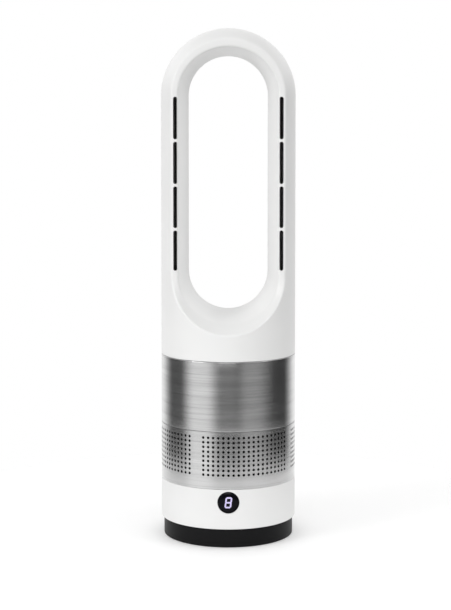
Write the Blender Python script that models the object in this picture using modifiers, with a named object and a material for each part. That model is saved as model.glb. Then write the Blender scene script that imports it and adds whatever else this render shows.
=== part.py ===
"""Bladeless tower fan: a black foot, a turning steel and white column, and an open loop head.

Metres, +Z up, the front faces -Y, and the origin is the middle of the floor footprint.
Each moving group hangs from an empty that stands on its joint's axis.
"""

import math

import bmesh
import bpy
import numpy as np
from mathutils import Matrix, Vector

# Driving sizes, in metres.
GAP = 0.0003
BODY_RADIUS = 0.075
FOOT_HEIGHT = 0.0208
CONTROL_HEIGHT = 0.0441
SCREEN_HEIGHT = 0.0626
CASING_HEIGHT = 0.0761
NECK_HEIGHT = 0.0916
LOOP_STRAIGHT = 0.1960

# The loop's cross-section, measured inwards from the body's radius.
SIDE_BAND = 0.0125
LIP_WIDTH = 0.0076
WALL_SLOPE = 0.0102
THROAT_SHARE = 0.60
HEAD_WALL = 0.002

# Air slits in the front lip.
SLIT_SHARES = (0.2424, 0.2500, 0.2533, 0.2543)
SLIT_START = 0.0044
SLIT_END = 0.0014
SLIT_WIDTH = 0.0045
SLIT_BRIDGE = 0.0026
SLIT_INSET = 0.0031
STRIP_SLOT_WIDTH = 0.0018
SLIT_REACH = 0.006
STRIP_THICKNESS = 0.002

# Foot.
FOOT_STEP = 0.0028
PLATE_INSET = 0.005
SKIRT_LIFT = 0.0004
SKIRT_EDGE = 0.0008
FOOT_WALL = 0.0022
PAD_RADIUS = 0.005
PAD_HEIGHT = 0.0012
PLATE_THICKNESS = 0.002
POST_RADIUS = 0.011
POST_WALL = 0.003
GLIDE_WIDTH = 0.005
JACK_WIDTH = 0.011
JACK_DEPTH = 0.013
JACK_BARREL_RADIUS = 0.0034
JACK_HOLE_RADIUS = 0.00275
JACK_PIN_RADIUS = 0.001

# Oscillation drive.
GEAR_MODULE = 0.00125
GEAR_TEETH = 36
PINION_TEETH = 12
GEAR_HEIGHT = 0.004
GEAR_PLAY = 0.00012
DRIVE_SHAFT_RADIUS = 0.002
DRIVE_MOTOR_RADIUS = 0.014
DRIVE_MOTOR_HEIGHT = 0.019
TURNTABLE_THICKNESS = 0.0025

# Control ring, display and electronics.
RING_WALL = 0.0022
LENS_RADIUS = 0.0117
LENS_MARGIN = 0.0028
BUTTON_TRAVEL = 0.0008
CARRIER_RIM = 0.0016
CARRIER_THICKNESS = 0.0012
MODULE_WIDTH = 0.014
MODULE_HEIGHT = 0.019
MODULE_DEPTH = 0.004
BOARD_THICKNESS = 0.0016
MAIN_BOARD_SIDE = 0.066
TRAY_THICKNESS = 0.002

# Inlet screen and its cage.
SHEET_STEEL = 0.0008
PANELS = 4
HOLE_COLUMNS = 19
HOLE_STEP_DEG = 4.28
PANEL_TURN_DEG = 17.2
HOLE_WIDTH = 0.0028
HOLE_BAND_RISE = 0.0127
HOLE_BAND_HEIGHT = 0.0434
CAGE_WALL = 0.002
CAGE_RIM = 0.004

# Fan unit.
HOUSING_WALL = 0.002
INLET_RADIUS = 0.040
OUTLET_RADIUS = 0.047
TIP_CLEARANCE = 0.0008
SHROUD_WALL = 0.0018
BELLMOUTH_RISE = 0.0110
IMPELLER_HEIGHT = 0.0230
IMPELLER_BLADES = 9
BLADE_THICKNESS = 0.0014
HUB_INLET_RADIUS = 0.014
HUB_OUTLET_RADIUS = 0.031
BUCKET_RADIUS = 0.033
BUCKET_WALL = 0.0018
BUCKET_HEIGHT = 0.0275
VANES = 11
MOTOR_RADIUS = 0.022
MOTOR_HEIGHT = 0.0215
CAN_WALL = 0.0015
ROTOR_RADIUS = 0.012
ROTOR_GAP = 0.0008
SHAFT_RADIUS = 0.003
BEARING_RADIUS = 0.007
BEARING_HEIGHT = 0.003

# Resolution of the round pieces.
BIG_STEPS = 32
MID_STEPS = 20
SMALL_STEPS = 16
ARC_STEPS = 14
DOME_STEPS = 7

# Levels worked out from the sizes above.
RING_BOTTOM = FOOT_HEIGHT
SCREEN_BOTTOM = RING_BOTTOM + CONTROL_HEIGHT
CASING_BOTTOM = SCREEN_BOTTOM + SCREEN_HEIGHT
HEAD_BOTTOM = CASING_BOTTOM + CASING_HEIGHT
LOOP_LOW = HEAD_BOTTOM + NECK_HEIGHT
LOOP_HIGH = LOOP_LOW + LOOP_STRAIGHT

# The loop's radii about its middle line.
CREST_RADIUS = BODY_RADIUS - SIDE_BAND
LIP_RADIUS = CREST_RADIUS - LIP_WIDTH
THROAT_RADIUS = LIP_RADIUS - WALL_SLOPE
LIP_DEPTH = math.sqrt(BODY_RADIUS**2 - CREST_RADIUS**2)
THROAT_DEPTH = LIP_DEPTH * THROAT_SHARE

PARTS = "tower_fan"
CUTTERS = "cutters"

# Small shared sizes.
CUT_PAST = 0.002
COVER_RISE = 0.006
MOUNT_RISE = 0.004
MOUNT_HEIGHT = 0.006
COLLAR_REACH = 0.012
GASKET_REACH = 0.010
GASKET_INSET = 0.002
VANE_THICKNESS = 0.0016
TRAY_BORE = 0.006
LEG_INSET = 0.006
LEG_RADIUS = 0.003
PIN_ROOT = 0.001
SOCKET_FLOOR = 0.003
LEAD_BEND = 0.008
CAPACITOR_RADIUS = 0.004
CAPACITOR_HEIGHT = 0.011
NUT_RADIUS = 0.0058

# Levels and radii of the foot.
FOOT_RADIUS = BODY_RADIUS - FOOT_STEP
FOOT_BOTTOM = PAD_HEIGHT + GAP
FOOT_TOP = FOOT_HEIGHT - GAP
PLATE_BOTTOM = FOOT_BOTTOM + FOOT_WALL + GAP
PLATE_TOP = PLATE_BOTTOM + PLATE_THICKNESS
PLATE_RADIUS = FOOT_RADIUS - PLATE_INSET
FLANGE_WIDTH = 0.009
FLANGE_RADIUS = PLATE_RADIUS - FLANGE_WIDTH
FIXING_RADIUS = PLATE_RADIUS - FLANGE_WIDTH / 2
TABLE_TOP = RING_BOTTOM - 0.0017
TABLE_BOTTOM = TABLE_TOP - TURNTABLE_THICKNESS
SCREW_RADIUS = 0.0012
SCREW_HEAD_RADIUS = 0.0026
SCREW_HEAD = 0.0009
FOOT_SCREW_ANGLES = (0.0, 120.0, 240.0)
RING_SCREW_ANGLES = (30.0, 150.0, 210.0)

# The oscillation gears stand on the -X side of the post.
GEAR_PITCH_RADIUS = GEAR_MODULE * GEAR_TEETH / 2
PINION_PITCH_RADIUS = GEAR_MODULE * PINION_TEETH / 2
DRIVE_X = -(GEAR_PITCH_RADIUS + PINION_PITCH_RADIUS)
TOOTH_TIP = 0.8 * GEAR_MODULE
TOOTH_ROOT = 1.15 * GEAR_MODULE
GLIDE_RADIUS = -DRIVE_X + PINION_PITCH_RADIUS + TOOTH_TIP + 0.0015
GEAR_BOTTOM = PLATE_TOP + GAP
GEAR_TOP = GEAR_BOTTOM + GEAR_HEIGHT
JACK_LOW = PLATE_TOP + GAP
JACK_HIGH = TABLE_BOTTOM - GAP
JACK_LEVEL = (JACK_LOW + JACK_HIGH) / 2
JACK_BACK = FOOT_RADIUS - FOOT_WALL - 0.0006
RETAINER_RADIUS = POST_RADIUS + 0.004
RETAINER_TOP = TABLE_TOP + GAP + 0.0016
LEAD_RADIUS = 0.0010
LEAD_RISE = 0.004

# Places in the control ring.
RING_TOP = SCREEN_BOTTOM - GAP
RING_BORE = BODY_RADIUS - RING_WALL
TABLE_RADIUS = FOOT_RADIUS - FOOT_WALL - 0.0006
TABLE_RIM = TABLE_RADIUS - FLANGE_WIDTH
LENS_LEVEL = SCREEN_BOTTOM - LENS_MARGIN - LENS_RADIUS
CARRIER_RADIUS = LENS_RADIUS + CARRIER_RIM
CARRIER_FRONT = -(math.sqrt(RING_BORE**2 - CARRIER_RADIUS**2) - GAP)
CARRIER_BACK = CARRIER_FRONT + CARRIER_THICKNESS
MODULE_FRONT = CARRIER_BACK + BUTTON_TRAVEL + GAP
BOARD_FRONT = MODULE_FRONT + MODULE_DEPTH + GAP
BOARD_BACK = BOARD_FRONT + BOARD_THICKNESS
BOARD_MARGIN = 0.003
TRAY_RADIUS = -BOARD_BACK - 0.003
TRAY_BOTTOM = TABLE_TOP + GAP + DRIVE_MOTOR_HEIGHT + GAP
TRAY_TOP = TRAY_BOTTOM + TRAY_THICKNESS
MAIN_BOARD_BOTTOM = TRAY_TOP + GAP
MAIN_BOARD_TOP = MAIN_BOARD_BOTTOM + BOARD_THICKNESS

# Places in the inlet and the fan unit.
SLEEVE_BORE = BODY_RADIUS - SHEET_STEEL
LINER_RADIUS = SLEEVE_BORE - GAP
HOUSING_BORE = LINER_RADIUS - HOUSING_WALL
CASING_TOP = HEAD_BOTTOM - GAP
FAN_FLANGE = 0.002
FAN_TOP = HEAD_BOTTOM - 0.011
DIFFUSER_HEIGHT = 0.0298
SHROUD_GAP = 0.001
DIFFUSER_BOTTOM = FAN_TOP - DIFFUSER_HEIGHT
SHROUD_TOP = DIFFUSER_BOTTOM - GAP
IMPELLER_TOP = SHROUD_TOP - SHROUD_GAP
THROAT_LEVEL = IMPELLER_TOP - IMPELLER_HEIGHT
BELLMOUTH_BOTTOM = THROAT_LEVEL - BELLMOUTH_RISE
HUB_BOTTOM = THROAT_LEVEL + 0.002
SHROUD_INLET = INLET_RADIUS + TIP_CLEARANCE
SHROUD_OUTLET = OUTLET_RADIUS + TIP_CLEARANCE
FLARE = 0.0098
CAN_BOTTOM = DIFFUSER_BOTTOM + BUCKET_WALL + GAP
CAN_TOP = CAN_BOTTOM + MOTOR_HEIGHT
LID_BOTTOM = CAN_TOP - CAN_WALL
NUT_HEIGHT = 0.004
SHAFT_BORE = SHAFT_RADIUS + GAP
LEAD_ANGLE = PANEL_TURN_DEG + 135.0
LEAD_SPOT_RADIUS = HOUSING_BORE - 0.006

# Places in the head.
HEAD_BORE = BODY_RADIUS - HEAD_WALL
GASKET_HEIGHT = 0.002
COLLAR_BOTTOM = FAN_TOP + GASKET_HEIGHT + 2 * GAP
COLLAR_WALL = 0.002
COLLAR_RISE = 0.007
SPLITTER_TOP = LOOP_LOW - CREST_RADIUS - HEAD_WALL - 0.001
SPLITTER_HEIGHT = 0.016
SPLITTER_HALF_WIDTH = 0.026
SPLITTER_HALF_DEPTH = 0.040
SLIT_CENTRE = LIP_RADIUS + SLIT_INSET
SLIT_LOW = LOOP_LOW + SLIT_START
SLIT_HIGH = LOOP_HIGH - SLIT_END
SLIT_RUN = SLIT_HIGH - SLIT_LOW - (len(SLIT_SHARES) - 1) * SLIT_BRIDGE


def clear_scene():
    for obj in list(bpy.data.objects):
        bpy.data.objects.remove(obj, do_unlink=True)
    for name in (PARTS, CUTTERS):
        bpy.context.scene.collection.children.link(bpy.data.collections.new(name))


def material(name, color, roughness, metallic=0.0):
    found = bpy.data.materials.get(name)
    if found:
        return found
    made = bpy.data.materials.new(name)
    made.use_nodes = True
    shader = made.node_tree.nodes["Principled BSDF"]
    shader.inputs["Base Color"].default_value = (*color, 1.0)
    shader.inputs["Roughness"].default_value = roughness
    shader.inputs["Metallic"].default_value = metallic
    return made


def white_plastic():
    return material("white_plastic", (0.86, 0.86, 0.86), 0.35)


def black_plastic():
    return material("black_plastic", (0.012, 0.012, 0.013), 0.45)


def grey_plastic():
    return material("grey_plastic", (0.22, 0.22, 0.23), 0.5)


def clear_black():
    return material("display_black", (0.004, 0.004, 0.005), 0.08)


def brushed_steel():
    return material("brushed_steel", (0.55, 0.55, 0.55), 0.3, 1.0)


def plain_steel():
    return material("plain_steel", (0.6, 0.6, 0.6), 0.35, 1.0)


def rubber():
    return material("rubber", (0.02, 0.02, 0.02), 0.8)


def circuit_board():
    return material("circuit_board", (0.02, 0.16, 0.07), 0.5)


def copper_winding():
    return material("copper_winding", (0.72, 0.32, 0.14), 0.4, 1.0)


def brass():
    return material("brass", (0.75, 0.58, 0.28), 0.35, 1.0)


def add_object(name, mesh, finish=None, cutter=False):
    """Links a mesh as a part or as a hidden cutter, smooth shaded with its hard edges kept."""
    obj = bpy.data.objects.new(name, mesh)
    bpy.data.collections[CUTTERS if cutter else PARTS].objects.link(obj)
    if cutter:
        obj.hide_render = True
        obj.display_type = "WIRE"
    if finish:
        mesh.materials.append(finish)
    mesh.shade_smooth()
    mesh.set_sharp_from_angle(angle=math.radians(30))
    return obj


def mesh_from(build, name, closed=True):
    """Runs a bmesh builder into a new mesh; a closed shape has its faces turned outwards."""
    shape = bmesh.new()
    build(shape)
    if closed:
        bmesh.ops.recalc_face_normals(shape, faces=shape.faces)
    mesh = bpy.data.meshes.new(name)
    shape.to_mesh(mesh)
    shape.free()
    return mesh


def box(name, low, high, finish=None, cutter=False):
    """A plain box from its lowest corner to its highest corner."""
    low, high = Vector(low), Vector(high)
    place = Matrix.Translation((low + high) / 2) @ Matrix.Diagonal((*(high - low), 1.0))

    def build(shape):
        bmesh.ops.create_cube(shape, size=1.0, matrix=place)

    return add_object(name, mesh_from(build, name), finish, cutter)


def add_rod(shape, start, end, radius, steps=SMALL_STEPS, end_radius=None):
    """Adds a closed rod from start to end to a bmesh; end_radius makes it a cone."""
    start, end = Vector(start), Vector(end)
    turn = (end - start).to_track_quat("Z", "Y").to_matrix().to_4x4()
    bmesh.ops.create_cone(
        shape,
        cap_ends=True,
        segments=steps,
        radius1=radius,
        radius2=radius if end_radius is None else end_radius,
        depth=(end - start).length,
        matrix=Matrix.Translation((start + end) / 2) @ turn,
    )


def rod(name, start, end, radius, finish=None, cutter=False, steps=SMALL_STEPS, end_radius=None):
    def build(shape):
        add_rod(shape, start, end, radius, steps, end_radius)

    return add_object(name, mesh_from(build, name), finish, cutter)


def turned(name, profile, finish=None, cutter=False, steps=BIG_STEPS, centre=(0.0, 0.0)):
    """A turned shape: (radius, height) points run down the outer side, then back up the inner one."""
    mesh = bpy.data.meshes.new(name)
    count = len(profile)
    on_axis = profile[0][0] == 0.0 and profile[-1][0] == 0.0
    edges = [(i, i + 1) for i in range(count - 1)]
    if not on_axis:
        edges.append((count - 1, 0))
    mesh.from_pydata([(radius, 0.0, height) for radius, height in profile], edges, [])
    obj = add_object(name, mesh, finish, cutter)
    obj.location = (*centre, 0.0)
    screw = obj.modifiers.new("turn", "SCREW")
    screw.axis = "Z"
    screw.steps = steps
    screw.render_steps = steps
    screw.use_merge_vertices = True
    screw.merge_threshold = 0.00001
    screw.use_smooth_shade = True
    return obj


def tube(name, inner, outer, low, high, finish=None, steps=BIG_STEPS, cutter=False, centre=(0.0, 0.0)):
    profile = [(outer, high), (outer, low), (inner, low), (inner, high)]
    return turned(name, profile, finish, cutter, steps, centre)


def boolean(obj, other, operation="DIFFERENCE"):
    modifier = obj.modifiers.new(operation.lower(), "BOOLEAN")
    modifier.operation = operation
    modifier.solver = "EXACT"
    modifier.object = other
    return obj


def around(radius, degrees, height=0.0):
    """The point at a radius and an angle seen from above, counted from the front towards +X."""
    angle = math.radians(degrees)
    return Vector((radius * math.sin(angle), -radius * math.cos(angle), height))


def axis_empty(name, location, parent=None):
    empty = bpy.data.objects.new(name, None)
    bpy.data.collections[PARTS].objects.link(empty)
    empty.empty_display_size = 0.02
    empty.location = location
    hang(empty, parent)
    return empty


def hang(obj, parent):
    """Parents an object and keeps it where it stands."""
    if parent is None:
        return
    bpy.context.view_layer.update()
    world = obj.matrix_world.copy()
    obj.parent = parent
    obj.matrix_parent_inverse = parent.matrix_world.inverted()
    obj.matrix_world = world


def prism(name, outline, low, high, finish=None, cutter=False, along="Y"):
    """A flat outline of (a, b) points pushed along Y from an XZ outline, or along Z from an XY one."""

    def build(shape):
        if along == "Y":
            points = [(a, low, b) for a, b in outline]
            push = (0.0, high - low, 0.0)
        else:
            points = [(a, b, low) for a, b in outline]
            push = (0.0, 0.0, high - low)
        face = shape.faces.new([shape.verts.new(point) for point in points])
        grown = bmesh.ops.extrude_face_region(shape, geom=[face])
        moved = [item for item in grown["geom"] if isinstance(item, bmesh.types.BMVert)]
        bmesh.ops.translate(shape, vec=push, verts=moved)

    return add_object(name, mesh_from(build, name), finish, cutter)


def joined_cutter(name, boxes=(), rods=()):
    """One hidden cutter of boxes, each a (size, matrix) pair, and of rods, each start, end and radius."""

    def build(shape):
        for size, matrix in boxes:
            bmesh.ops.create_cube(shape, size=1.0, matrix=matrix @ Matrix.Diagonal((*size, 1.0)))
        for start, end, radius in rods:
            add_rod(shape, start, end, radius)

    return add_object(name, mesh_from(build, name), cutter=True)


def smooth_route(corners, steps=4):
    """Points along the smooth curve that runs through every corner of a route."""
    knots = [Vector(corner) for corner in corners]
    knots = [2 * knots[0] - knots[1], *knots, 2 * knots[-1] - knots[-2]]
    points = []
    for before, start, end, after in zip(knots, knots[1:], knots[2:], knots[3:]):
        for step in range(steps):
            t = step / steps
            bend = (2 * before - 5 * start + 4 * end - after) * t
            bend += (3 * start - before - 3 * end + after) * t * t
            points.append(start + 0.5 * t * (end - before + bend))
    return [*points, knots[-2]]


def lead(name, corners, radius, finish):
    """A round wire along a smooth route."""
    points = smooth_route(corners)
    curve = bpy.data.curves.new(name, "CURVE")
    curve.dimensions = "3D"
    curve.bevel_depth = radius
    curve.bevel_resolution = 2
    curve.use_fill_caps = True
    spline = curve.splines.new("POLY")
    spline.points.add(len(points) - 1)
    for slot, point in zip(spline.points, points):
        slot.co = (*point, 1.0)
    curve.materials.append(finish)
    obj = bpy.data.objects.new(name, curve)
    bpy.data.collections[PARTS].objects.link(obj)
    return obj


def quarter_arc(centre, radius, start_deg, steps=2):
    """Points of a quarter circle, clockwise, in (radius, height) terms."""
    angles = [math.radians(start_deg - 90.0 * step / steps) for step in range(steps + 1)]
    return [(centre[0] + radius * math.cos(a), centre[1] + radius * math.sin(a)) for a in angles]


def screw(name, angle, radius, tip, head_side, head_end):
    """A headed screw: its shank runs from the tip to the head, which may point up or down."""
    spot = around(radius, angle)
    points = [
        (0.0, tip),
        (SCREW_RADIUS, tip),
        (SCREW_RADIUS, head_side),
        (SCREW_HEAD_RADIUS, head_side),
        (SCREW_HEAD_RADIUS, head_end),
        (0.0, head_end),
    ]
    if head_end > tip:
        points.reverse()
    return turned(name, points, plain_steel(), steps=12, centre=(spot.x, spot.y))


def screw_holes(name, angles, radius, low, high):
    rods = [(around(radius, angle, low), around(radius, angle, high), SCREW_RADIUS + GAP) for angle in angles]
    return joined_cutter(name, rods=rods)


def make_foot():
    """The black foot that stands still: shell, floor plate, pads, screws, power jack and its lead."""
    edge = quarter_arc((FOOT_RADIUS - SKIRT_EDGE, SKIRT_LIFT + SKIRT_EDGE), SKIRT_EDGE, 0.0)
    rim = FOOT_RADIUS - FOOT_WALL
    flange_top = FOOT_BOTTOM + FOOT_WALL
    profile = [(FOOT_RADIUS, FOOT_TOP), *edge, (rim, SKIRT_LIFT), (rim, FOOT_BOTTOM)]
    profile += [(FLANGE_RADIUS, FOOT_BOTTOM), (FLANGE_RADIUS, flange_top), (rim, flange_top), (rim, FOOT_TOP)]
    shell = turned("base_shell", profile, black_plastic())
    holes = screw_holes("foot_screw_holes", FOOT_SCREW_ANGLES, FIXING_RADIUS, 0.0, PLATE_TOP - GAP)
    mouth = ((0.0, JACK_BACK - CUT_PAST, JACK_LEVEL), (0.0, FOOT_RADIUS + CUT_PAST, JACK_LEVEL))
    window = joined_cutter("jack_window", rods=[(*mouth, JACK_BARREL_RADIUS + GAP)])
    boolean(shell, holes)
    boolean(shell, window)

    post_bore = POST_RADIUS - POST_WALL
    post = [(0.0, PLATE_TOP), (post_bore, PLATE_TOP), (post_bore, TABLE_TOP), (POST_RADIUS, TABLE_TOP)]
    post += [(POST_RADIUS, PLATE_TOP), (PLATE_RADIUS, PLATE_TOP), (PLATE_RADIUS, PLATE_BOTTOM)]
    post += [(0.0, PLATE_BOTTOM)]
    plate = turned("base_plate", post, grey_plastic())
    notch = Matrix.Translation((0.0, POST_RADIUS, (GEAR_TOP + TABLE_TOP) / 2))
    notch_size = (0.004, 2 * POST_WALL + 0.004, TABLE_TOP - GEAR_TOP + GAP)
    boolean(plate, holes)
    boolean(plate, joined_cutter("lead_notch", boxes=[(notch_size, notch)]))
    parts = [shell, plate]

    for index, angle in enumerate((45.0, 135.0, 225.0, 315.0), start=1):
        spot = around(FIXING_RADIUS, angle)
        pad = rod(f"foot_{index}", spot, spot + Vector((0.0, 0.0, PAD_HEIGHT)), PAD_RADIUS, rubber())
        parts.append(pad)
        inner = around(GLIDE_RADIUS + GLIDE_WIDTH / 2, angle)
        turn = Matrix.Rotation(math.radians(angle), 4, "Z")
        size = Vector((0.012, GLIDE_WIDTH, TABLE_BOTTOM - PLATE_TOP - 2 * GAP))
        glide = box(f"glide_pad_{index}", -size / 2, size / 2, white_plastic())
        glide.matrix_world = Matrix.Translation((inner.x, inner.y, (TABLE_BOTTOM + PLATE_TOP) / 2)) @ turn
        parts.append(glide)
    for index, angle in enumerate(FOOT_SCREW_ANGLES, start=1):
        name = f"base_screw_{index}"
        tip, seat = PLATE_TOP - 2 * GAP, FOOT_BOTTOM - GAP
        parts.append(screw(name, angle, FIXING_RADIUS, tip, seat, seat - SCREW_HEAD))

    retainer = tube("pivot_retainer", post_bore, RETAINER_RADIUS, TABLE_TOP + GAP, RETAINER_TOP,
                    plain_steel(), MID_STEPS)
    parts += [retainer, make_jack()]
    corners = [
        (0.0, JACK_BACK - JACK_DEPTH - GAP, JACK_LEVEL),
        (0.0, JACK_BACK - JACK_DEPTH - LEAD_BEND, JACK_LEVEL),
        (0.0, GEAR_PITCH_RADIUS + 0.004, GEAR_TOP + LEAD_RADIUS + GAP),
        (0.0, POST_RADIUS, GEAR_TOP + LEAD_RADIUS + GAP),
        (0.0, 0.003, GEAR_TOP + 0.004),
        (0.0, 0.0, TABLE_TOP),
        (0.0, 0.0, RETAINER_TOP + LEAD_RISE),
    ]
    parts.append(lead("inlet_lead", corners, LEAD_RADIUS, rubber()))
    return parts


def make_jack():
    """The round low-voltage socket at the back of the foot, with its centre pin."""
    low = (-JACK_WIDTH / 2, JACK_BACK - JACK_DEPTH, JACK_LOW)
    jack = box("power_jack", low, (JACK_WIDTH / 2, JACK_BACK, JACK_HIGH), black_plastic())
    start, end = (0.0, JACK_BACK - PIN_ROOT, JACK_LEVEL), (0.0, FOOT_RADIUS - GAP, JACK_LEVEL)
    boolean(jack, rod("jack_barrel", start, end, JACK_BARREL_RADIUS, cutter=True), "UNION")
    bottom = JACK_BACK - JACK_DEPTH + SOCKET_FLOOR
    mouth = (0.0, FOOT_RADIUS + CUT_PAST, JACK_LEVEL)
    boolean(jack, rod("jack_bore", (0.0, bottom, JACK_LEVEL), mouth, JACK_HOLE_RADIUS, cutter=True))
    pin_start, pin_end = (0.0, bottom - PIN_ROOT, JACK_LEVEL), (0.0, JACK_BACK - PIN_ROOT, JACK_LEVEL)
    boolean(jack, rod("jack_pin", pin_start, pin_end, JACK_PIN_RADIUS, cutter=True, steps=10), "UNION")
    return jack


def gear_outline(teeth, turn_deg):
    """An involute gear's outline, with a tooth centred on the angle given."""
    pitch = GEAR_MODULE * teeth / 2
    base = pitch * math.cos(math.radians(20.0))

    def half_angle(radius):
        at = math.acos(min(1.0, base / radius))
        start = math.radians(20.0)
        spread = math.tan(start) - start - (math.tan(at) - at)
        return math.pi / (2 * teeth) - GEAR_PLAY / pitch + spread

    radii = (pitch - TOOTH_ROOT, pitch, pitch + TOOTH_TIP)
    flank = [(radius, half_angle(max(radius, base))) for radius in radii]
    points = []
    for tooth in range(teeth):
        middle = math.radians(turn_deg) + 2 * math.pi * tooth / teeth
        for radius, half in flank:
            points.append((radius * math.cos(middle - half), radius * math.sin(middle - half)))
        for radius, half in reversed(flank):
            points.append((radius * math.cos(middle + half), radius * math.sin(middle + half)))
    return points


def gear(name, teeth, turn_deg, centre_x, bore, finish):
    outline = [(x + centre_x, y) for x, y in gear_outline(teeth, turn_deg)]
    made = prism(name, outline, GEAR_BOTTOM, GEAR_TOP, finish, along="Z")
    ends = ((centre_x, 0.0, GEAR_BOTTOM - CUT_PAST), (centre_x, 0.0, GEAR_TOP + CUT_PAST))
    boolean(made, rod(f"{name}_bore", *ends, bore, cutter=True, steps=MID_STEPS))
    return made


def make_drive():
    """The pinion and shaft that turn under the tower and walk round the fixed gear."""
    half_step = 180.0 / PINION_TEETH
    pinion = gear("pinion", PINION_TEETH, half_step, DRIVE_X, DRIVE_SHAFT_RADIUS + GAP, white_plastic())
    ends = ((DRIVE_X, 0.0, GEAR_BOTTOM), (DRIVE_X, 0.0, TABLE_TOP))
    shaft = rod("drive_shaft", *ends, DRIVE_SHAFT_RADIUS, plain_steel())
    return [pinion, shaft]


def make_turntable():
    """The turning plate, the screws that hold the ring to it, and the motor that drives it."""
    bore = POST_RADIUS + GAP
    profile = [(TABLE_RADIUS, RING_BOTTOM - GAP), (TABLE_RADIUS, TABLE_BOTTOM), (bore, TABLE_BOTTOM)]
    profile += [(bore, TABLE_TOP), (TABLE_RIM, TABLE_TOP), (TABLE_RIM, RING_BOTTOM - GAP)]
    table = turned("turntable", profile, grey_plastic())
    through = ((DRIVE_X, 0.0, TABLE_BOTTOM - CUT_PAST), (DRIVE_X, 0.0, TABLE_TOP + CUT_PAST))
    drive_hole = joined_cutter("drive_hole", rods=[(*through, DRIVE_SHAFT_RADIUS + GAP)])
    middle = TABLE_RIM + FLANGE_WIDTH / 2
    tip = TABLE_BOTTOM + 0.0012
    seat = RING_BOTTOM + RING_WALL
    holes = screw_holes("ring_screw_holes", RING_SCREW_ANGLES, middle, tip - GAP, seat + CUT_PAST)
    boolean(table, drive_hole)
    boolean(table, holes)
    parts = [table]
    for index, angle in enumerate(RING_SCREW_ANGLES, start=1):
        parts.append(screw(f"ring_screw_{index}", angle, middle, tip, seat + GAP, seat + GAP + SCREW_HEAD))

    profile = [(BODY_RADIUS, RING_TOP), (BODY_RADIUS, RING_BOTTOM), (TABLE_RIM, RING_BOTTOM)]
    profile += [(TABLE_RIM, seat), (RING_BORE, seat), (RING_BORE, RING_TOP)]
    ring = turned("control_ring", profile, white_plastic())
    ends = ((0.0, -BODY_RADIUS - 0.005, LENS_LEVEL), (0.0, -BODY_RADIUS + 0.010, LENS_LEVEL))
    boolean(ring, holes)
    boolean(ring, rod("lens_hole", *ends, LENS_RADIUS + GAP, cutter=True, steps=32))

    low, high = TABLE_TOP + GAP, TABLE_TOP + GAP + DRIVE_MOTOR_HEIGHT
    motor = rod("oscillation_motor", (DRIVE_X, 0, low), (DRIVE_X, 0, high), DRIVE_MOTOR_RADIUS, plain_steel())
    return [*parts, ring, motor]


def make_electronics():
    """The tray with its legs, the main board, the display board, the digit module and the switch."""
    tray = tube("electronics_tray", TRAY_BORE, TRAY_RADIUS, TRAY_BOTTOM, TRAY_TOP, grey_plastic())
    legs = []
    for angle in (60.0, 180.0, 300.0):
        foot = around(TRAY_RADIUS - LEG_INSET, angle, TABLE_TOP + GAP)
        legs.append((foot, Vector((foot.x, foot.y, TRAY_BOTTOM + TRAY_THICKNESS / 2)), LEG_RADIUS))
    boolean(tray, joined_cutter("tray_legs", rods=legs), "UNION")

    half = MAIN_BOARD_SIDE / 2
    board_low, board_high = (-half, -half, MAIN_BOARD_BOTTOM), (half, half, MAIN_BOARD_TOP)
    board = box("main_board", board_low, board_high, circuit_board())
    sunk = MAIN_BOARD_BOTTOM + BOARD_THICKNESS / 2
    blocks = []
    for x, y, wide, deep, tall in (
        (-0.020, -0.018, 0.014, 0.010, 0.006),
        (0.019, -0.016, 0.016, 0.012, 0.008),
        (0.022, 0.010, 0.010, 0.018, 0.010),
        (-0.018, 0.022, 0.018, 0.006, 0.005),
    ):
        centre = Matrix.Translation((x, y, sunk + tall / 2))
        blocks.append(((wide, deep, tall), centre))
    can_top = MAIN_BOARD_TOP + CAPACITOR_HEIGHT
    cans = [((x, 0.004, sunk), (x, 0.004, can_top), CAPACITOR_RADIUS) for x in (-0.012, -0.001)]
    boolean(board, joined_cutter("board_parts", boxes=blocks, rods=cans), "UNION")

    wide, tall = MODULE_WIDTH / 2, MODULE_HEIGHT / 2
    low = (-wide, MODULE_FRONT, LENS_LEVEL - tall)
    module = box("digit_module", low, (wide, MODULE_FRONT + MODULE_DEPTH, LENS_LEVEL + tall), black_plastic())
    low = (wide + GAP, MODULE_FRONT, LENS_LEVEL - 0.002)
    high = (wide + 0.004, MODULE_FRONT + MODULE_DEPTH, LENS_LEVEL + 0.002)
    switch = box("button_switch", low, high, plain_steel())
    wide, tall = wide + 2 * BOARD_MARGIN, tall + BOARD_MARGIN
    low = (-wide, BOARD_FRONT, LENS_LEVEL - tall)
    display = box("display_board", low, (wide, BOARD_BACK, LENS_LEVEL + tall), circuit_board())

    wire_top = MAIN_BOARD_BOTTOM - GAP
    wire_low = (0.0, 0.0, RETAINER_TOP + LEAD_RISE + GAP)
    wire = rod("supply_lead", wire_low, (0.0, 0.0, wire_top), LEAD_RADIUS, rubber(), steps=8)
    return [tray, board, module, switch, display, wire]


def make_button():
    """The round black lens that carries the digit, pressed in against the switch behind it."""
    front = (0.0, -BODY_RADIUS - CUT_PAST, LENS_LEVEL)
    back = (0.0, CARRIER_FRONT - GAP, LENS_LEVEL)
    lens = rod("display_lens", front, back, LENS_RADIUS, clear_black(), steps=32)
    ends = ((0.0, 0.0, LENS_LEVEL - 2 * LENS_RADIUS), (0.0, 0.0, LENS_LEVEL + 2 * LENS_RADIUS))
    skin = turned("lens_skin", [(0.0, ends[1][2]), (BODY_RADIUS, ends[1][2]), (BODY_RADIUS, ends[0][2]),
                                (0.0, ends[0][2])], cutter=True)
    boolean(lens, skin, "INTERSECT")
    ends = ((0.0, CARRIER_FRONT, LENS_LEVEL), (0.0, CARRIER_BACK, LENS_LEVEL))
    carrier = rod("button_carrier", *ends, CARRIER_RADIUS, black_plastic(), steps=32)
    return [lens, carrier]


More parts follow.
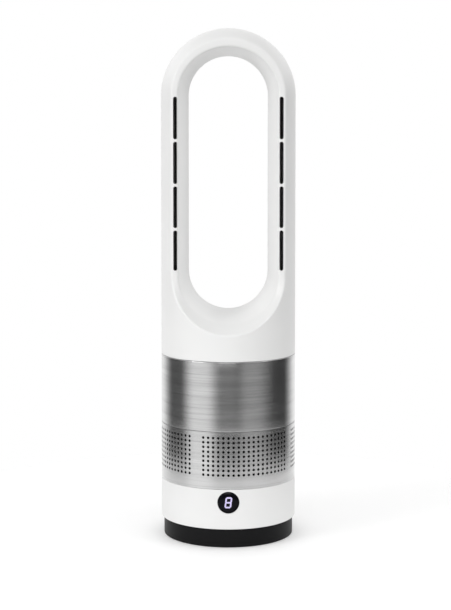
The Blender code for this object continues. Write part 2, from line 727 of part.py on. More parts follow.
def sector_cutter(name, sectors, inner, outer, low, high, steps=6):
    """Hidden wedges between two radii and two heights, each from a start angle to an end angle."""

    def build(shape):
        for start, end in sectors:
            corners = [around(inner, start, low), around(outer, start, low)]
            corners += [around(outer, start, high), around(inner, start, high)]
            face = shape.faces.new([shape.verts.new(corner) for corner in corners])
            turn = {"axis": (0, 0, 1), "cent": (0, 0, 0), "angle": math.radians(end - start)}
            bmesh.ops.spin(shape, geom=[face, *face.edges, *face.verts], steps=steps, **turn)

    return add_object(name, mesh_from(build, name), cutter=True)


def make_inlet():
    """The perforated steel sleeve and the cage that carries the tower inside it."""
    sleeve_top = CASING_BOTTOM - GAP
    sleeve = tube("inlet_screen", SLEEVE_BORE, BODY_RADIUS, SCREEN_BOTTOM, sleeve_top, brushed_steel())
    size = (HOLE_WIDTH, 0.006, HOLE_BAND_HEIGHT)
    slots = []
    for panel in range(PANELS):
        for column in range(HOLE_COLUMNS):
            offset = (column - (HOLE_COLUMNS - 1) / 2) * HOLE_STEP_DEG
            angle = PANEL_TURN_DEG + panel * 360.0 / PANELS + offset
            middle = SCREEN_BOTTOM + HOLE_BAND_RISE + HOLE_BAND_HEIGHT / 2
            spot = around(BODY_RADIUS - SHEET_STEEL / 2, angle, middle)
            slots.append((size, Matrix.Translation(spot) @ Matrix.Rotation(math.radians(angle), 4, "Z")))
    boolean(sleeve, joined_cutter("inlet_slots", boxes=slots))

    low, high = SCREEN_BOTTOM, CASING_BOTTOM - GAP
    cage = tube("inlet_cage", LINER_RADIUS - CAGE_WALL, LINER_RADIUS, low, high, grey_plastic())
    half = HOLE_COLUMNS * HOLE_STEP_DEG / 2
    centres = [PANEL_TURN_DEG + panel * 360.0 / PANELS for panel in range(PANELS)]
    sectors = [(centre - half, centre + half) for centre in centres]
    radii = (LINER_RADIUS - 4 * CAGE_WALL, LINER_RADIUS + 2 * CAGE_WALL)
    boolean(cage, sector_cutter("cage_windows", sectors, *radii, low + CAGE_RIM, high - CAGE_RIM))
    return [sleeve, cage]


def bell_curve(narrow, flare, bottom, steps=3):
    """A flared mouth's curve, from its narrow end at the throat down to its wide end."""
    rise = THROAT_LEVEL - bottom
    points = []
    for step in range(steps + 1):
        angle = math.pi / 2 * step / steps
        points.append((narrow + flare * (1 - math.cos(angle)), THROAT_LEVEL - rise * math.sin(angle)))
    return points


def make_casing():
    """The plain steel sleeve, the plastic housing in it, the bellmouth and the diffuser."""
    casing = tube("steel_casing", SLEEVE_BORE, BODY_RADIUS, CASING_BOTTOM, CASING_TOP, brushed_steel())
    housing = tube("fan_housing", HOUSING_BORE, LINER_RADIUS, CASING_BOTTOM, CASING_TOP - GAP, grey_plastic())
    edge = HOUSING_BORE - GAP
    flange_top = BELLMOUTH_BOTTOM + FAN_FLANGE
    outside = bell_curve(SHROUD_INLET + SHROUD_WALL, FLARE - SHROUD_WALL / 2, flange_top)
    inside = bell_curve(SHROUD_INLET, FLARE, BELLMOUTH_BOTTOM)[::-1]
    profile = [(SHROUD_OUTLET + SHROUD_WALL, SHROUD_TOP), *outside, (edge, flange_top)]
    profile += [(edge, BELLMOUTH_BOTTOM), *inside, (SHROUD_OUTLET, SHROUD_TOP)]
    bellmouth = turned("bellmouth", profile, white_plastic())
    hole = (around(LEAD_SPOT_RADIUS, LEAD_ANGLE, BELLMOUTH_BOTTOM - CUT_PAST),
            around(LEAD_SPOT_RADIUS, LEAD_ANGLE, flange_top + CUT_PAST), LEAD_RADIUS + 0.001)
    boolean(bellmouth, joined_cutter("lead_hole", rods=[hole]))

    outer = SHROUD_OUTLET + SHROUD_WALL
    profile = [(edge, FAN_TOP), (edge, FAN_TOP - FAN_FLANGE), (outer, FAN_TOP - FAN_FLANGE)]
    profile += [(outer, DIFFUSER_BOTTOM), (SHROUD_OUTLET, DIFFUSER_BOTTOM), (SHROUD_OUTLET, FAN_TOP)]
    diffuser = turned("diffuser", profile, white_plastic())
    vane_low, vane_high = DIFFUSER_BOTTOM + 0.001, FAN_TOP - 0.004
    length = SHROUD_OUTLET - BUCKET_RADIUS + SHROUD_WALL
    size = (VANE_THICKNESS, length, vane_high - vane_low)
    vanes = []
    for vane in range(VANES):
        angle = 360.0 * vane / VANES
        spot = around((SHROUD_OUTLET + BUCKET_RADIUS) / 2, angle, (vane_low + vane_high) / 2)
        tilt = Matrix.Rotation(math.radians(12.0), 4, "Y")
        vanes.append((size, Matrix.Translation(spot) @ Matrix.Rotation(math.radians(angle), 4, "Z") @ tilt))
    boolean(diffuser, joined_cutter("diffuser_vanes", boxes=vanes), "UNION")
    bucket_top = DIFFUSER_BOTTOM + BUCKET_HEIGHT
    floor = DIFFUSER_BOTTOM + BUCKET_WALL
    profile = [(BUCKET_RADIUS, bucket_top), (BUCKET_RADIUS, DIFFUSER_BOTTOM)]
    profile += [(SHAFT_RADIUS + 0.001, DIFFUSER_BOTTOM), (SHAFT_RADIUS + 0.001, floor)]
    profile += [(BUCKET_RADIUS - BUCKET_WALL, floor), (BUCKET_RADIUS - BUCKET_WALL, bucket_top)]
    bucket = turned("motor_bucket", profile, cutter=True, steps=MID_STEPS)
    boolean(diffuser, bucket, "UNION")
    return [casing, housing, bellmouth, diffuser]


def dome(radius, height, base, steps=3):
    """Half an ellipse from its top on the axis down to its edge."""
    angles = [math.pi / 2 * step / steps for step in range(steps + 1)]
    return [(radius * math.sin(a), base + height * math.cos(a)) for a in angles]


def make_motor():
    """The fan motor in its rubber mount, and the cover over it."""
    seat = BEARING_RADIUS + GAP
    can_bore = MOTOR_RADIUS - CAN_WALL
    profile = [(MOTOR_RADIUS, CAN_TOP), (MOTOR_RADIUS, CAN_BOTTOM), (seat, CAN_BOTTOM)]
    profile += [(seat, CAN_BOTTOM + CAN_WALL), (can_bore, CAN_BOTTOM + CAN_WALL), (can_bore, CAN_TOP)]
    can = turned("motor_can", profile, plain_steel(), steps=MID_STEPS)
    lid = tube("motor_lid", seat, can_bore - GAP, LID_BOTTOM, CAN_TOP, plain_steel(), MID_STEPS)
    low, high = CAN_BOTTOM + CAN_WALL + GAP, LID_BOTTOM - GAP
    stator = tube("stator", ROTOR_RADIUS + ROTOR_GAP, can_bore - GAP, low, high, copper_winding(), MID_STEPS)
    bearings = []
    for name, level in (("bearing_lower", CAN_BOTTOM), ("bearing_upper", CAN_TOP - BEARING_HEIGHT)):
        top = level + BEARING_HEIGHT
        bearings.append(tube(name, SHAFT_BORE, BEARING_RADIUS, level, top, plain_steel(), MID_STEPS))
    outer = BUCKET_RADIUS - BUCKET_WALL - GAP
    low, high = CAN_BOTTOM + MOUNT_RISE, CAN_BOTTOM + MOUNT_RISE + MOUNT_HEIGHT
    mount = tube("motor_mount", MOTOR_RADIUS + GAP, outer, low, high, rubber(), MID_STEPS)
    base = DIFFUSER_BOTTOM + BUCKET_HEIGHT + GAP
    inner = dome(BUCKET_RADIUS - BUCKET_WALL, COVER_RISE - BUCKET_WALL, base)[::-1]
    profile = [*dome(BUCKET_RADIUS, COVER_RISE, base), *inner]
    cover = turned("bucket_cover", profile, white_plastic(), steps=MID_STEPS)

    ring = SHROUD_OUTLET + SHROUD_WALL
    corners = [
        around(MAIN_BOARD_SIDE / 2 - 0.006, LEAD_ANGLE, MAIN_BOARD_TOP + LEAD_RADIUS + GAP),
        around(TRAY_RADIUS - LEAD_BEND, LEAD_ANGLE, MAIN_BOARD_TOP + LEAD_BEND),
        around(LEAD_SPOT_RADIUS, LEAD_ANGLE, SCREEN_BOTTOM + LEAD_BEND),
        around(LEAD_SPOT_RADIUS, LEAD_ANGLE, BELLMOUTH_BOTTOM),
        around(LEAD_SPOT_RADIUS, LEAD_ANGLE, DIFFUSER_BOTTOM),
        around((LEAD_SPOT_RADIUS + ring) / 2, LEAD_ANGLE, FAN_TOP - 0.010),
        around(ring + 2 * GAP, LEAD_ANGLE, FAN_TOP - LEAD_BEND),
    ]
    return [can, lid, stator, *bearings, mount, cover, lead("motor_lead", corners, LEAD_RADIUS, rubber())]


def hub_radius(share):
    """The impeller hub's radius at a share of its height: slim at the inlet, wide at the outlet."""
    return HUB_INLET_RADIUS + (HUB_OUTLET_RADIUS - HUB_INLET_RADIUS) * share**1.6


def make_impeller():
    """The mixed-flow impeller, its shaft, the rotor and the nut: everything that spins."""
    steps = 3
    height = IMPELLER_TOP - HUB_BOTTOM
    levels = [(hub_radius(1 - s / steps), IMPELLER_TOP - height * s / steps) for s in range(steps + 1)]
    profile = [*levels, (SHAFT_BORE, HUB_BOTTOM), (SHAFT_BORE, IMPELLER_TOP)]
    hub = turned("impeller", profile, grey_plastic(), steps=MID_STEPS)

    def build(shape):
        for blade in range(IMPELLER_BLADES):
            rows = []
            for step in range(steps + 1):
                share = step / steps
                level = THROAT_LEVEL + 0.001 + (IMPELLER_TOP - 0.0005 - THROAT_LEVEL - 0.001) * share
                tip = INLET_RADIUS + (OUTLET_RADIUS - INLET_RADIUS) * share
                root = hub_radius(max(0.0, (level - HUB_BOTTOM) / height)) - 0.002
                angle = 360.0 * blade / IMPELLER_BLADES + 55.0 * share - 20.0 * share * share
                rows.append([shape.verts.new(around(r, angle, level)) for r in (root, (root + tip) / 2, tip)])
            for lower, upper in zip(rows, rows[1:]):
                for a, b, c, d in zip(lower, lower[1:], upper[1:], upper):
                    shape.faces.new((a, b, c, d))

    blades = add_object("impeller_blades", mesh_from(build, "impeller_blades"), cutter=True)
    wall = blades.modifiers.new("thickness", "SOLIDIFY")
    wall.thickness = BLADE_THICKNESS
    wall.offset = 0.0
    boolean(hub, blades, "UNION")

    nut_bottom = HUB_BOTTOM - GAP - NUT_HEIGHT
    flats = SHAFT_BORE / math.cos(math.pi / 6)
    nut = tube("impeller_nut", flats, NUT_RADIUS, nut_bottom, nut_bottom + NUT_HEIGHT, brass(), 6)
    ends = ((0.0, 0.0, nut_bottom - 0.0015), (0.0, 0.0, CAN_TOP))
    shaft = rod("motor_shaft", *ends, SHAFT_RADIUS, plain_steel())
    low, high = CAN_BOTTOM + BEARING_HEIGHT + GAP, CAN_TOP - BEARING_HEIGHT - GAP
    rotor = tube("rotor", SHAFT_BORE, ROTOR_RADIUS, low, high, plain_steel(), MID_STEPS)
    return [hub, shaft, rotor, nut]


def loop_directions():
    """Outward directions and centre heights round the loop: the upper arc, then the lower one."""
    angles = [math.pi * step / ARC_STEPS for step in range(ARC_STEPS + 1)]
    upper = [(math.cos(a), math.sin(a), LOOP_HIGH) for a in angles]
    lower = [(-math.cos(a), -math.sin(a), LOOP_LOW) for a in angles]
    return upper + lower


def loop_plug(name, radius, reach):
    """The loop's outline at one radius, pushed right through the head."""
    outline = [(nx * radius, middle + nz * radius) for nx, nz, middle in loop_directions()]
    return prism(name, outline, -reach, reach, cutter=True)


def capsule(name, outer, inner, bottom, finish=None, cutter=False):
    """A tube with a round top, open at the bottom."""
    angles = [math.pi / 2 * step / DOME_STEPS for step in range(DOME_STEPS + 1)]
    outside = [(outer * math.sin(a), LOOP_HIGH + outer * math.cos(a)) for a in angles]
    inside = [(inner * math.sin(a), LOOP_HIGH + inner * math.cos(a)) for a in reversed(angles)]
    outside[0] = (0.0, outside[0][1])
    inside[-1] = (0.0, inside[-1][1])
    return turned(name, [*outside, (outer, bottom), (inner, bottom), *inside], finish, cutter)


def thick_wall(visible, end_radius, end_depth):
    """Closes a wall's visible (radius, depth) line, from crest to throat, with a line one wall behind it."""
    lines = list(zip(visible, visible[1:]))
    normals = []
    for (r0, y0), (r1, y1) in lines:
        length = math.hypot(r1 - r0, y1 - y0)
        normals.append(((y1 - y0) / length, (r0 - r1) / length))
    first, last = normals[0], normals[-1]
    slide = (end_radius - visible[0][0] - HEAD_WALL * first[0]) / first[1]
    back = [(end_radius, visible[0][1] + HEAD_WALL * first[1] - slide * first[0])]
    for (r, y), one, two in zip(visible[1:-1], normals, normals[1:]):
        reach = HEAD_WALL / (1 + one[0] * two[0] + one[1] * two[1])
        back.append((r + reach * (one[0] + two[0]), y + reach * (one[1] + two[1])))
    slide = (end_depth - visible[-1][1] - HEAD_WALL * last[1]) / last[0]
    back.append((visible[-1][0] + HEAD_WALL * last[0] - slide * last[1], end_depth))
    return visible + back[::-1]


def loop_wall(name, section, side, finish):
    """A wall swept round the loop, as a loft of one closed section for each outward direction."""
    rings = []
    for nx, nz, middle in loop_directions():
        rings.append([(nx * r, side * y, middle + nz * r) for r, y in section(nx, nz)])

    def build(shape):
        rows = [[shape.verts.new(point) for point in ring] for ring in rings]
        for row, following in zip(rows, rows[1:] + rows[:1]):
            for a, b, c, d in zip(row, row[1:] + row[:1], following[1:] + following[:1], following):
                shape.faces.new((a, b, c, d))

    return add_object(name, mesh_from(build, name), finish)


def crest_depth(nx, nz):
    """How far the crest stands from the loop's middle plane: it drops onto the body below the loop."""
    radius = CREST_RADIUS - GAP
    return math.sqrt(BODY_RADIUS**2 - (radius if nz >= 0.0 else nx * radius)**2)


def front_section(nx, nz):
    """From the crest across the lip, then in along the sloping wall to the throat."""
    radius, end = CREST_RADIUS - GAP, THROAT_DEPTH - GAP / 2
    visible = [(radius, -crest_depth(nx, nz)), (LIP_RADIUS, -LIP_DEPTH), (THROAT_RADIUS, end)]
    return thick_wall(visible, radius, end)


def rear_section(nx, nz):
    """From the rear crest to the rear lip and round it to the throat, seen from behind: it flattens below."""
    radius, end = CREST_RADIUS - GAP, -THROAT_DEPTH - GAP / 2
    low = max(-nz, 0.0)
    share = (BODY_RADIUS - LIP_DEPTH) / (BODY_RADIUS + end)
    lip = LIP_RADIUS + low * (radius + (THROAT_RADIUS - radius) * share - LIP_RADIUS)
    bend_radius = THROAT_RADIUS + low * (lip - THROAT_RADIUS) / 2
    bend_depth = -LIP_DEPTH + low * (LIP_DEPTH + end) / 2
    curve = []
    for step in range(4):
        u = step / 3
        curve.append(tuple(
            (1 - u)**2 * first + 2 * u * (1 - u) * bend + u**2 * last
            for first, bend, last in ((lip, bend_radius, THROAT_RADIUS), (-LIP_DEPTH, bend_depth, end))
        ))
    return thick_wall([(radius, -crest_depth(nx, nz)), *curve], radius, end)


def make_head():
    """The white loop: outer shell, front lip with its slits, rear lip, slit strips and air splitter."""
    reach = BODY_RADIUS + 0.020
    shell = capsule("head_shell", BODY_RADIUS, HEAD_BORE, HEAD_BOTTOM, white_plastic())
    boolean(shell, loop_plug("loop_hole", CREST_RADIUS, reach))

    front = loop_wall("front_bezel", front_section, 1, white_plastic())
    rear = loop_wall("rear_bezel", rear_section, -1, white_plastic())
    slits = []
    strips = []
    strip_front = -LIP_DEPTH + HEAD_WALL + GAP
    inner, outer = LIP_RADIUS + HEAD_WALL + GAP, math.sqrt(HEAD_BORE**2 - strip_front**2) - GAP
    for side, name in ((-1, "nozzle_strip_left"), (1, "nozzle_strip_right")):
        low_x, high_x = sorted((side * inner, side * outer))
        low = (low_x, strip_front, SLIT_LOW - SLIT_BRIDGE)
        high = (high_x, strip_front + STRIP_THICKNESS, SLIT_HIGH + SLIT_BRIDGE)
        strip = box(name, low, high, black_plastic())
        slots = []
        low_end = SLIT_LOW
        for share in SLIT_SHARES:
            length = share * SLIT_RUN
            level = low_end + length / 2
            lip_place = Matrix.Translation((side * SLIT_CENTRE, -LIP_DEPTH, level))
            strip_place = Matrix.Translation((side * (inner + outer) / 2, strip_front, level))
            slits.append(((SLIT_WIDTH, SLIT_REACH, length), lip_place))
            slots.append(((STRIP_SLOT_WIDTH, 4 * STRIP_THICKNESS, length - STRIP_SLOT_WIDTH), strip_place))
            low_end += length + SLIT_BRIDGE
        boolean(strip, joined_cutter(f"{name}_slots", boxes=slots))
        strips.append(strip)
    boolean(front, joined_cutter("lip_slits", boxes=slits))

    low, high = SPLITTER_TOP - SPLITTER_HEIGHT, SPLITTER_TOP
    wedge = [(-SPLITTER_HALF_WIDTH, high), (0.0, low), (SPLITTER_HALF_WIDTH, high)]
    splitter = prism("air_splitter", wedge, -SPLITTER_HALF_DEPTH, SPLITTER_HALF_DEPTH, white_plastic())

    gasket_low = FAN_TOP + GAP
    gasket = tube("duct_gasket", HOUSING_BORE - GASKET_REACH, HOUSING_BORE - GASKET_INSET, gasket_low,
                  gasket_low + GASKET_HEIGHT, rubber())
    lower, upper = HOUSING_BORE - GAP, HEAD_BORE - GAP
    top = HEAD_BOTTOM + COLLAR_RISE
    bore = lower - COLLAR_WALL
    profile = [(upper, top), (upper, HEAD_BOTTOM + GAP), (lower, HEAD_BOTTOM - GAP), (lower, COLLAR_BOTTOM)]
    mouth, floor = HOUSING_BORE - COLLAR_REACH, COLLAR_BOTTOM + COLLAR_WALL
    profile += [(mouth, COLLAR_BOTTOM), (mouth, floor)]
    profile += [(bore, COLLAR_BOTTOM + COLLAR_WALL), (bore, top)]
    collar = turned("joining_ring", profile, grey_plastic())
    return [shell, front, rear, *strips, splitter, gasket, collar]


def main():
    clear_scene()
    foot_axis = axis_empty("foot_axis", (0.0, 0.0, 0.0))
    tower_axis = axis_empty("tower_axis", (0.0, 0.0, TABLE_BOTTOM), foot_axis)
    drive_axis = axis_empty("drive_axis", (DRIVE_X, 0.0, GEAR_BOTTOM), tower_axis)
    fan_axis = axis_empty("fan_axis", (0.0, 0.0, THROAT_LEVEL), tower_axis)
    button_axis = axis_empty("button_axis", (0.0, -BODY_RADIUS, LENS_LEVEL), tower_axis)

    fixed_gear = gear("fixed_gear", GEAR_TEETH, 0.0, 0.0, POST_RADIUS + GAP, white_plastic())
    tower = [*make_turntable(), *make_electronics(), *make_inlet()]
    tower += [*make_casing(), *make_motor(), *make_head()]
    groups = [
        (foot_axis, [*make_foot(), fixed_gear]),
        (drive_axis, make_drive()),
        (tower_axis, tower),
        (fan_axis, make_impeller()),
        (button_axis, make_button()),
    ]
    for axis, parts in groups:
        for part in parts:
            hang(part, axis)


main()
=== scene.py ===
"""Bladeless tower fan, finished: satin white loop head, brushed steel sleeves, drilled inlet and a lit display."""

import math

import bmesh
import bpy
import numpy as np
from bpy.props import FloatProperty, FloatVectorProperty, IntProperty, PointerProperty
from mathutils import Matrix, Vector


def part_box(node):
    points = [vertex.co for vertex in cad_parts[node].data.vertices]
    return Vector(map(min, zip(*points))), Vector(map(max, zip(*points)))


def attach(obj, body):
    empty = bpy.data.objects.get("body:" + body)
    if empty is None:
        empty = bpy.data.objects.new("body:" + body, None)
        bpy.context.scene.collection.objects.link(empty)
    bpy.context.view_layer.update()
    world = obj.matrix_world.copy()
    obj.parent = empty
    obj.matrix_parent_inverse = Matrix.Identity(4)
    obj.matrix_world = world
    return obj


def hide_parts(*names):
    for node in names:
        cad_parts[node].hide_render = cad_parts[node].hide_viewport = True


bl_info = {
    "name": "Tower fan finisher",
    "version": (1, 0, 0),
    "blender": (4, 5, 0),
    "location": "3D View > Sidebar > Tower fan",
    "description": "Makes the fine surfaces, finishes and studio of a bladeless tower fan",
    "category": "Object",
}

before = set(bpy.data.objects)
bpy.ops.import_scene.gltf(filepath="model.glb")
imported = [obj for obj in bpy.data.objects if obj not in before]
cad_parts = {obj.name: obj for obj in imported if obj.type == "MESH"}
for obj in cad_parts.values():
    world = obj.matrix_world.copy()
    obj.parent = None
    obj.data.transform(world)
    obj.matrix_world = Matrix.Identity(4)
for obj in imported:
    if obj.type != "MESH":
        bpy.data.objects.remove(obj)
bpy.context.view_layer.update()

# Places read from the frame, in metres.
SHELL_LOW, SHELL_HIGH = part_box("head_shell")
LIP_LOW, LIP_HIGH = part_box("front_bezel")
CASING_LOW, CASING_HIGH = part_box("steel_casing")
SCREEN_LOW, SCREEN_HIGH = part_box("inlet_screen")
RING_LOW, RING_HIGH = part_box("control_ring")
FOOT_LOW, FOOT_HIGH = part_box("base_shell")
LENS_LOW, LENS_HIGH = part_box("display_lens")
STRIP_LOW, STRIP_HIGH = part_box("nozzle_strip_right")

BODY = SHELL_HIGH.x
CREST = LIP_HIGH.x + 0.0003
HEAD_BASE = SHELL_LOW.z
ARCH_LEVEL = SHELL_HIGH.z - BODY
SCOOP_LEVEL = LIP_LOW.z + LIP_HIGH.x
LIP_DEPTH = math.sqrt(BODY**2 - CREST**2)
THROAT_DEPTH = LIP_HIGH.y
LENS_LEVEL = (LENS_LOW.z + LENS_HIGH.z) / 2
LENS_RADIUS = LENS_HIGH.x

# Walls, roundings and counts that no slider sets, in metres.
SHEET = 0.0008
SHEET_ROUND = 0.0004
RING_WALL = 0.0022
RING_LOW_ROUND, RING_HIGH_ROUND = 0.0009, 0.0007
HEAD_LOW_ROUND = 0.0008
FOOT_WALL, FOOT_FLANGE, FOOT_LEDGE = 0.0022, 0.0015, 0.014
FOOT_LOW_ROUND, FOOT_HIGH_ROUND = 0.0009, 0.0006
SOCKET_RADIUS = 0.0037
LENS_PLAY = 0.0003
SLIT_SHARES = (0.2424, 0.2500, 0.2533, 0.2543)
SLIT_DEPTH, CUT_PAST = 0.0032, 0.004
PLAIN_LOW, PLAIN_HIGH = 0.0145, 0.0056
# The near-black sleeve behind the inlet holes, which is painted shade: its gap, wall and inset.
SHADE_SLEEVE_GAP, SHADE_SLEEVE_WALL, SHADE_SLEEVE_INSET = 0.0052, 0.0004, 0.002
DIGIT_LEAN_DEG = 7.5
BACK = np.array([1.0, -1.0, 1.0])
TURN_STEPS = 256
DISC_STEPS = 96
SHARP_DEG = 35.0


class TowerFanSizes(bpy.types.PropertyGroup):
    """The sizes of the visible surfaces."""

    lip_width: FloatProperty(name="Lip width", description="Flat front lip of the loop", default=0.0076, unit="LENGTH")
    wall_slope: FloatProperty(name="Wall slope", description="How far the inner wall leans in", default=0.0102,
                              unit="LENGTH")
    arch_lip: FloatProperty(name="Arch lip", description="Extra width of the lip at the top", default=0.0022,
                            unit="LENGTH")
    crest_round: FloatProperty(name="Crest round", description="Reach of the crest's rounding", default=0.0022,
                               unit="LENGTH")
    lip_round: FloatProperty(name="Lip round", description="Reach of the lip's inner rounding", default=0.0026,
                             unit="LENGTH")
    shell_wall: FloatProperty(name="Shell wall", description="Wall of the white shells", default=0.0018, unit="LENGTH")
    slit_width: FloatProperty(name="Slit width", description="Width of an air slit", default=0.0045, unit="LENGTH")
    slit_bridge: FloatProperty(name="Slit bridge", description="Gap between slits", default=0.0026, unit="LENGTH")
    slit_inset: FloatProperty(name="Slit inset", description="Slit centre from the lip's inner edge", default=0.0031,
                              unit="LENGTH")
    hole_size: FloatProperty(name="Hole size", description="Diameter of an inlet hole", default=0.0029, unit="LENGTH")
    hole_step: FloatProperty(name="Hole step", description="Height between rows of holes", default=0.00508,
                             unit="LENGTH")
    hole_turn: FloatProperty(name="Hole turn", description="Angle between columns of holes",
                             default=math.radians(4.28), subtype="ANGLE")
    panel_turn: FloatProperty(name="Panel turn", description="Angle of the first panel's middle from the front",
                              default=math.radians(17.2), subtype="ANGLE")
    hole_rows: IntProperty(name="Hole rows", description="Rows of holes in a panel", default=9)
    hole_columns: IntProperty(name="Hole columns", description="Columns of holes in a panel", default=19)
    digit_height: FloatProperty(name="Digit height", description="Height of the lit digit", default=0.0122,
                                unit="LENGTH")
    digit_width: FloatProperty(name="Digit width", description="Width of the lit digit", default=0.0074,
                               unit="LENGTH")
    digit_stroke: FloatProperty(name="Digit stroke", description="Width of a lit bar", default=0.0017, unit="LENGTH")


class TowerFanFinishes(bpy.types.PropertyGroup):
    """The colours of the finishes."""

    white: FloatVectorProperty(name="White", description="Moulded white plastic", default=(0.79, 0.79, 0.785),
                               subtype="COLOR")
    black: FloatVectorProperty(name="Black", description="Moulded black plastic", default=(0.0035, 0.0035, 0.004),
                               subtype="COLOR")
    steel: FloatVectorProperty(name="Steel", description="Brushed stainless sheet", default=(0.64, 0.64, 0.64),
                               subtype="COLOR")
    digit: FloatVectorProperty(name="Digit", description="Light of the digit", default=(0.66, 0.60, 0.90),
                               subtype="COLOR")


def sizes():
    return bpy.context.scene.tower_fan_sizes


def finishes():
    return bpy.context.scene.tower_fan_finishes


# Mesh helpers.


def grid_quads(rows, columns, wrap_rows=False, wrap_columns=False):
    """Faces of a rows by columns grid of points, joined round on itself where a wrap is asked for."""
    index = np.arange(rows * columns).reshape(rows, columns)
    if wrap_rows:
        index = np.vstack([index, index[:1]])
    if wrap_columns:
        index = np.hstack([index, index[:, :1]])
    return np.stack([index[:-1, :-1], index[:-1, 1:], index[1:, 1:], index[1:, :-1]], axis=-1).reshape(-1, 4)


def make_mesh(name, points, quads, turn_out=True, weld=1e-6):
    """A mesh from point and quad arrays, with its doubles welded and its faces turned outwards."""
    mesh = bpy.data.meshes.new(name)
    mesh.from_pydata(np.asarray(points, float).reshape(-1, 3), [], np.asarray(quads).tolist())
    shape = bmesh.new()
    shape.from_mesh(mesh)
    bmesh.ops.remove_doubles(shape, verts=shape.verts, dist=weld)
    bmesh.ops.dissolve_degenerate(shape, edges=shape.edges, dist=weld)
    if turn_out:
        bmesh.ops.recalc_face_normals(shape, faces=shape.faces)
    shape.to_mesh(mesh)
    shape.free()
    return mesh


def link_object(name, data):
    obj = bpy.data.objects.new(name, data)
    bpy.context.scene.collection.objects.link(obj)
    return obj


def plain_mesh(name, points, faces):
    """A mesh from points and faces of any number of corners, turned outwards."""
    mesh = bpy.data.meshes.new(name)
    mesh.from_pydata(points, [], faces)
    shape = bmesh.new()
    shape.from_mesh(mesh)
    bmesh.ops.recalc_face_normals(shape, faces=shape.faces)
    shape.to_mesh(mesh)
    shape.free()
    return mesh


def prism_faces(count, first=0):
    """Faces of a prism whose first outline is points first to first + count and whose second follows it."""
    ring = np.arange(count) + first
    after = np.roll(ring, -1)
    sides = np.stack([ring, after, after + count, ring + count], axis=-1).tolist()
    return sides + [ring.tolist(), (ring[::-1] + count).tolist()]


def shade(mesh):
    mesh.shade_smooth()
    mesh.set_sharp_from_angle(angle=math.radians(SHARP_DEG))


def link_piece(name, mesh, finish):
    """Puts a mesh in the scene with its finish, smooth shaded except at sharp edges."""
    obj = link_object(name, mesh)
    mesh.materials.clear()
    mesh.materials.append(finish)
    shade(mesh)
    return obj


def apply_modifiers(obj):
    """Swaps the object's mesh for the one that its modifiers make."""
    bpy.context.view_layer.update()
    graph = bpy.context.evaluated_depsgraph_get()
    made = bpy.data.meshes.new_from_object(obj.evaluated_get(graph))
    obj.modifiers.clear()
    obj.data = made
    return obj


def thicken(obj, wall):
    """Gives a surface a wall on its inner side, for good."""
    modifier = obj.modifiers.new("wall", "SOLIDIFY")
    modifier.thickness = wall
    modifier.offset = -1.0
    modifier.use_even_offset = False
    return apply_modifiers(obj)


def cut(obj, cutter):
    """Cuts one mesh from another for good and removes the cutter."""
    modifier = obj.modifiers.new("cut", "BOOLEAN")
    modifier.operation = "DIFFERENCE"
    modifier.solver = "EXACT"
    modifier.object = cutter
    apply_modifiers(obj)
    bpy.data.objects.remove(cutter, do_unlink=True)
    shade(obj.data)
    return obj


def revolve(profile, steps):
    """Points (rows by steps) of a profile's (radius, height) rows turned about Z: (r sin a, -r cos a, z)."""
    profile = np.asarray(profile, float)
    angle = np.arange(steps) * 2 * np.pi / steps
    radius, height = profile[:, :1], profile[:, 1:]
    return np.stack([radius * np.sin(angle), -radius * np.cos(angle), height + 0 * angle], axis=-1)


def turned_piece(name, profile, finish, steps=TURN_STEPS):
    """A closed ring: a closed (radius, height) outline turned about Z."""
    points = revolve(profile, steps)
    quads = grid_quads(*points.shape[:2], wrap_rows=True, wrap_columns=True)
    return link_piece(name, make_mesh(name, points, quads), finish)


def arc(centre, radius, start_deg, end_deg, count=7):
    """Points (a, b) on a circle about a centre, from one angle to another."""
    angle = np.radians(np.linspace(start_deg, end_deg, count))
    return np.stack([centre[0] + radius * np.cos(angle), centre[1] + radius * np.sin(angle)], axis=-1)


def bend(start, corner, end, count=9):
    """A rounding: (1-u)^2 start + 2u(1-u) corner + u^2 end, for whole rows of points at once."""
    u = np.linspace(0.0, 1.0, count)[None, :, None]
    start, corner, end = (np.asarray(p)[:, None, :] for p in (start, corner, end))
    return (1 - u) ** 2 * start + 2 * u * (1 - u) * corner + u**2 * end


# The loop head.


def loop_lines(arc_steps=72, limb_steps=26):
    """Outward directions and centre levels round the loop: (cos a, sin a) over the arch, then limb, scoop and limb."""
    angle = np.linspace(0.0, np.pi, arc_steps + 1)
    arch = np.stack([np.cos(angle), np.sin(angle), 0 * angle + ARCH_LEVEL], axis=-1)
    scoop = np.stack([-np.cos(angle), -np.sin(angle), 0 * angle + SCOOP_LEVEL], axis=-1)
    arch[[0, -1], 1] = 0.0
    scoop[[0, -1], 1] = 0.0
    share = np.linspace(0.0, 1.0, limb_steps + 1)[1:-1, None]
    left = arch[-1:] + share * (scoop[:1] - arch[-1:])
    right = scoop[-1:] + share * (arch[:1] - scoop[-1:])
    return np.vstack([arch, left, scoop, right])


def on_loop(lines, radius, depth):
    """A point a radius out from the loop's centre line: (nx r, depth, centre + nz r)."""
    return np.stack([lines[:, 0] * radius, depth + 0 * lines[:, 0], lines[:, 2] + lines[:, 1] * radius], axis=-1)


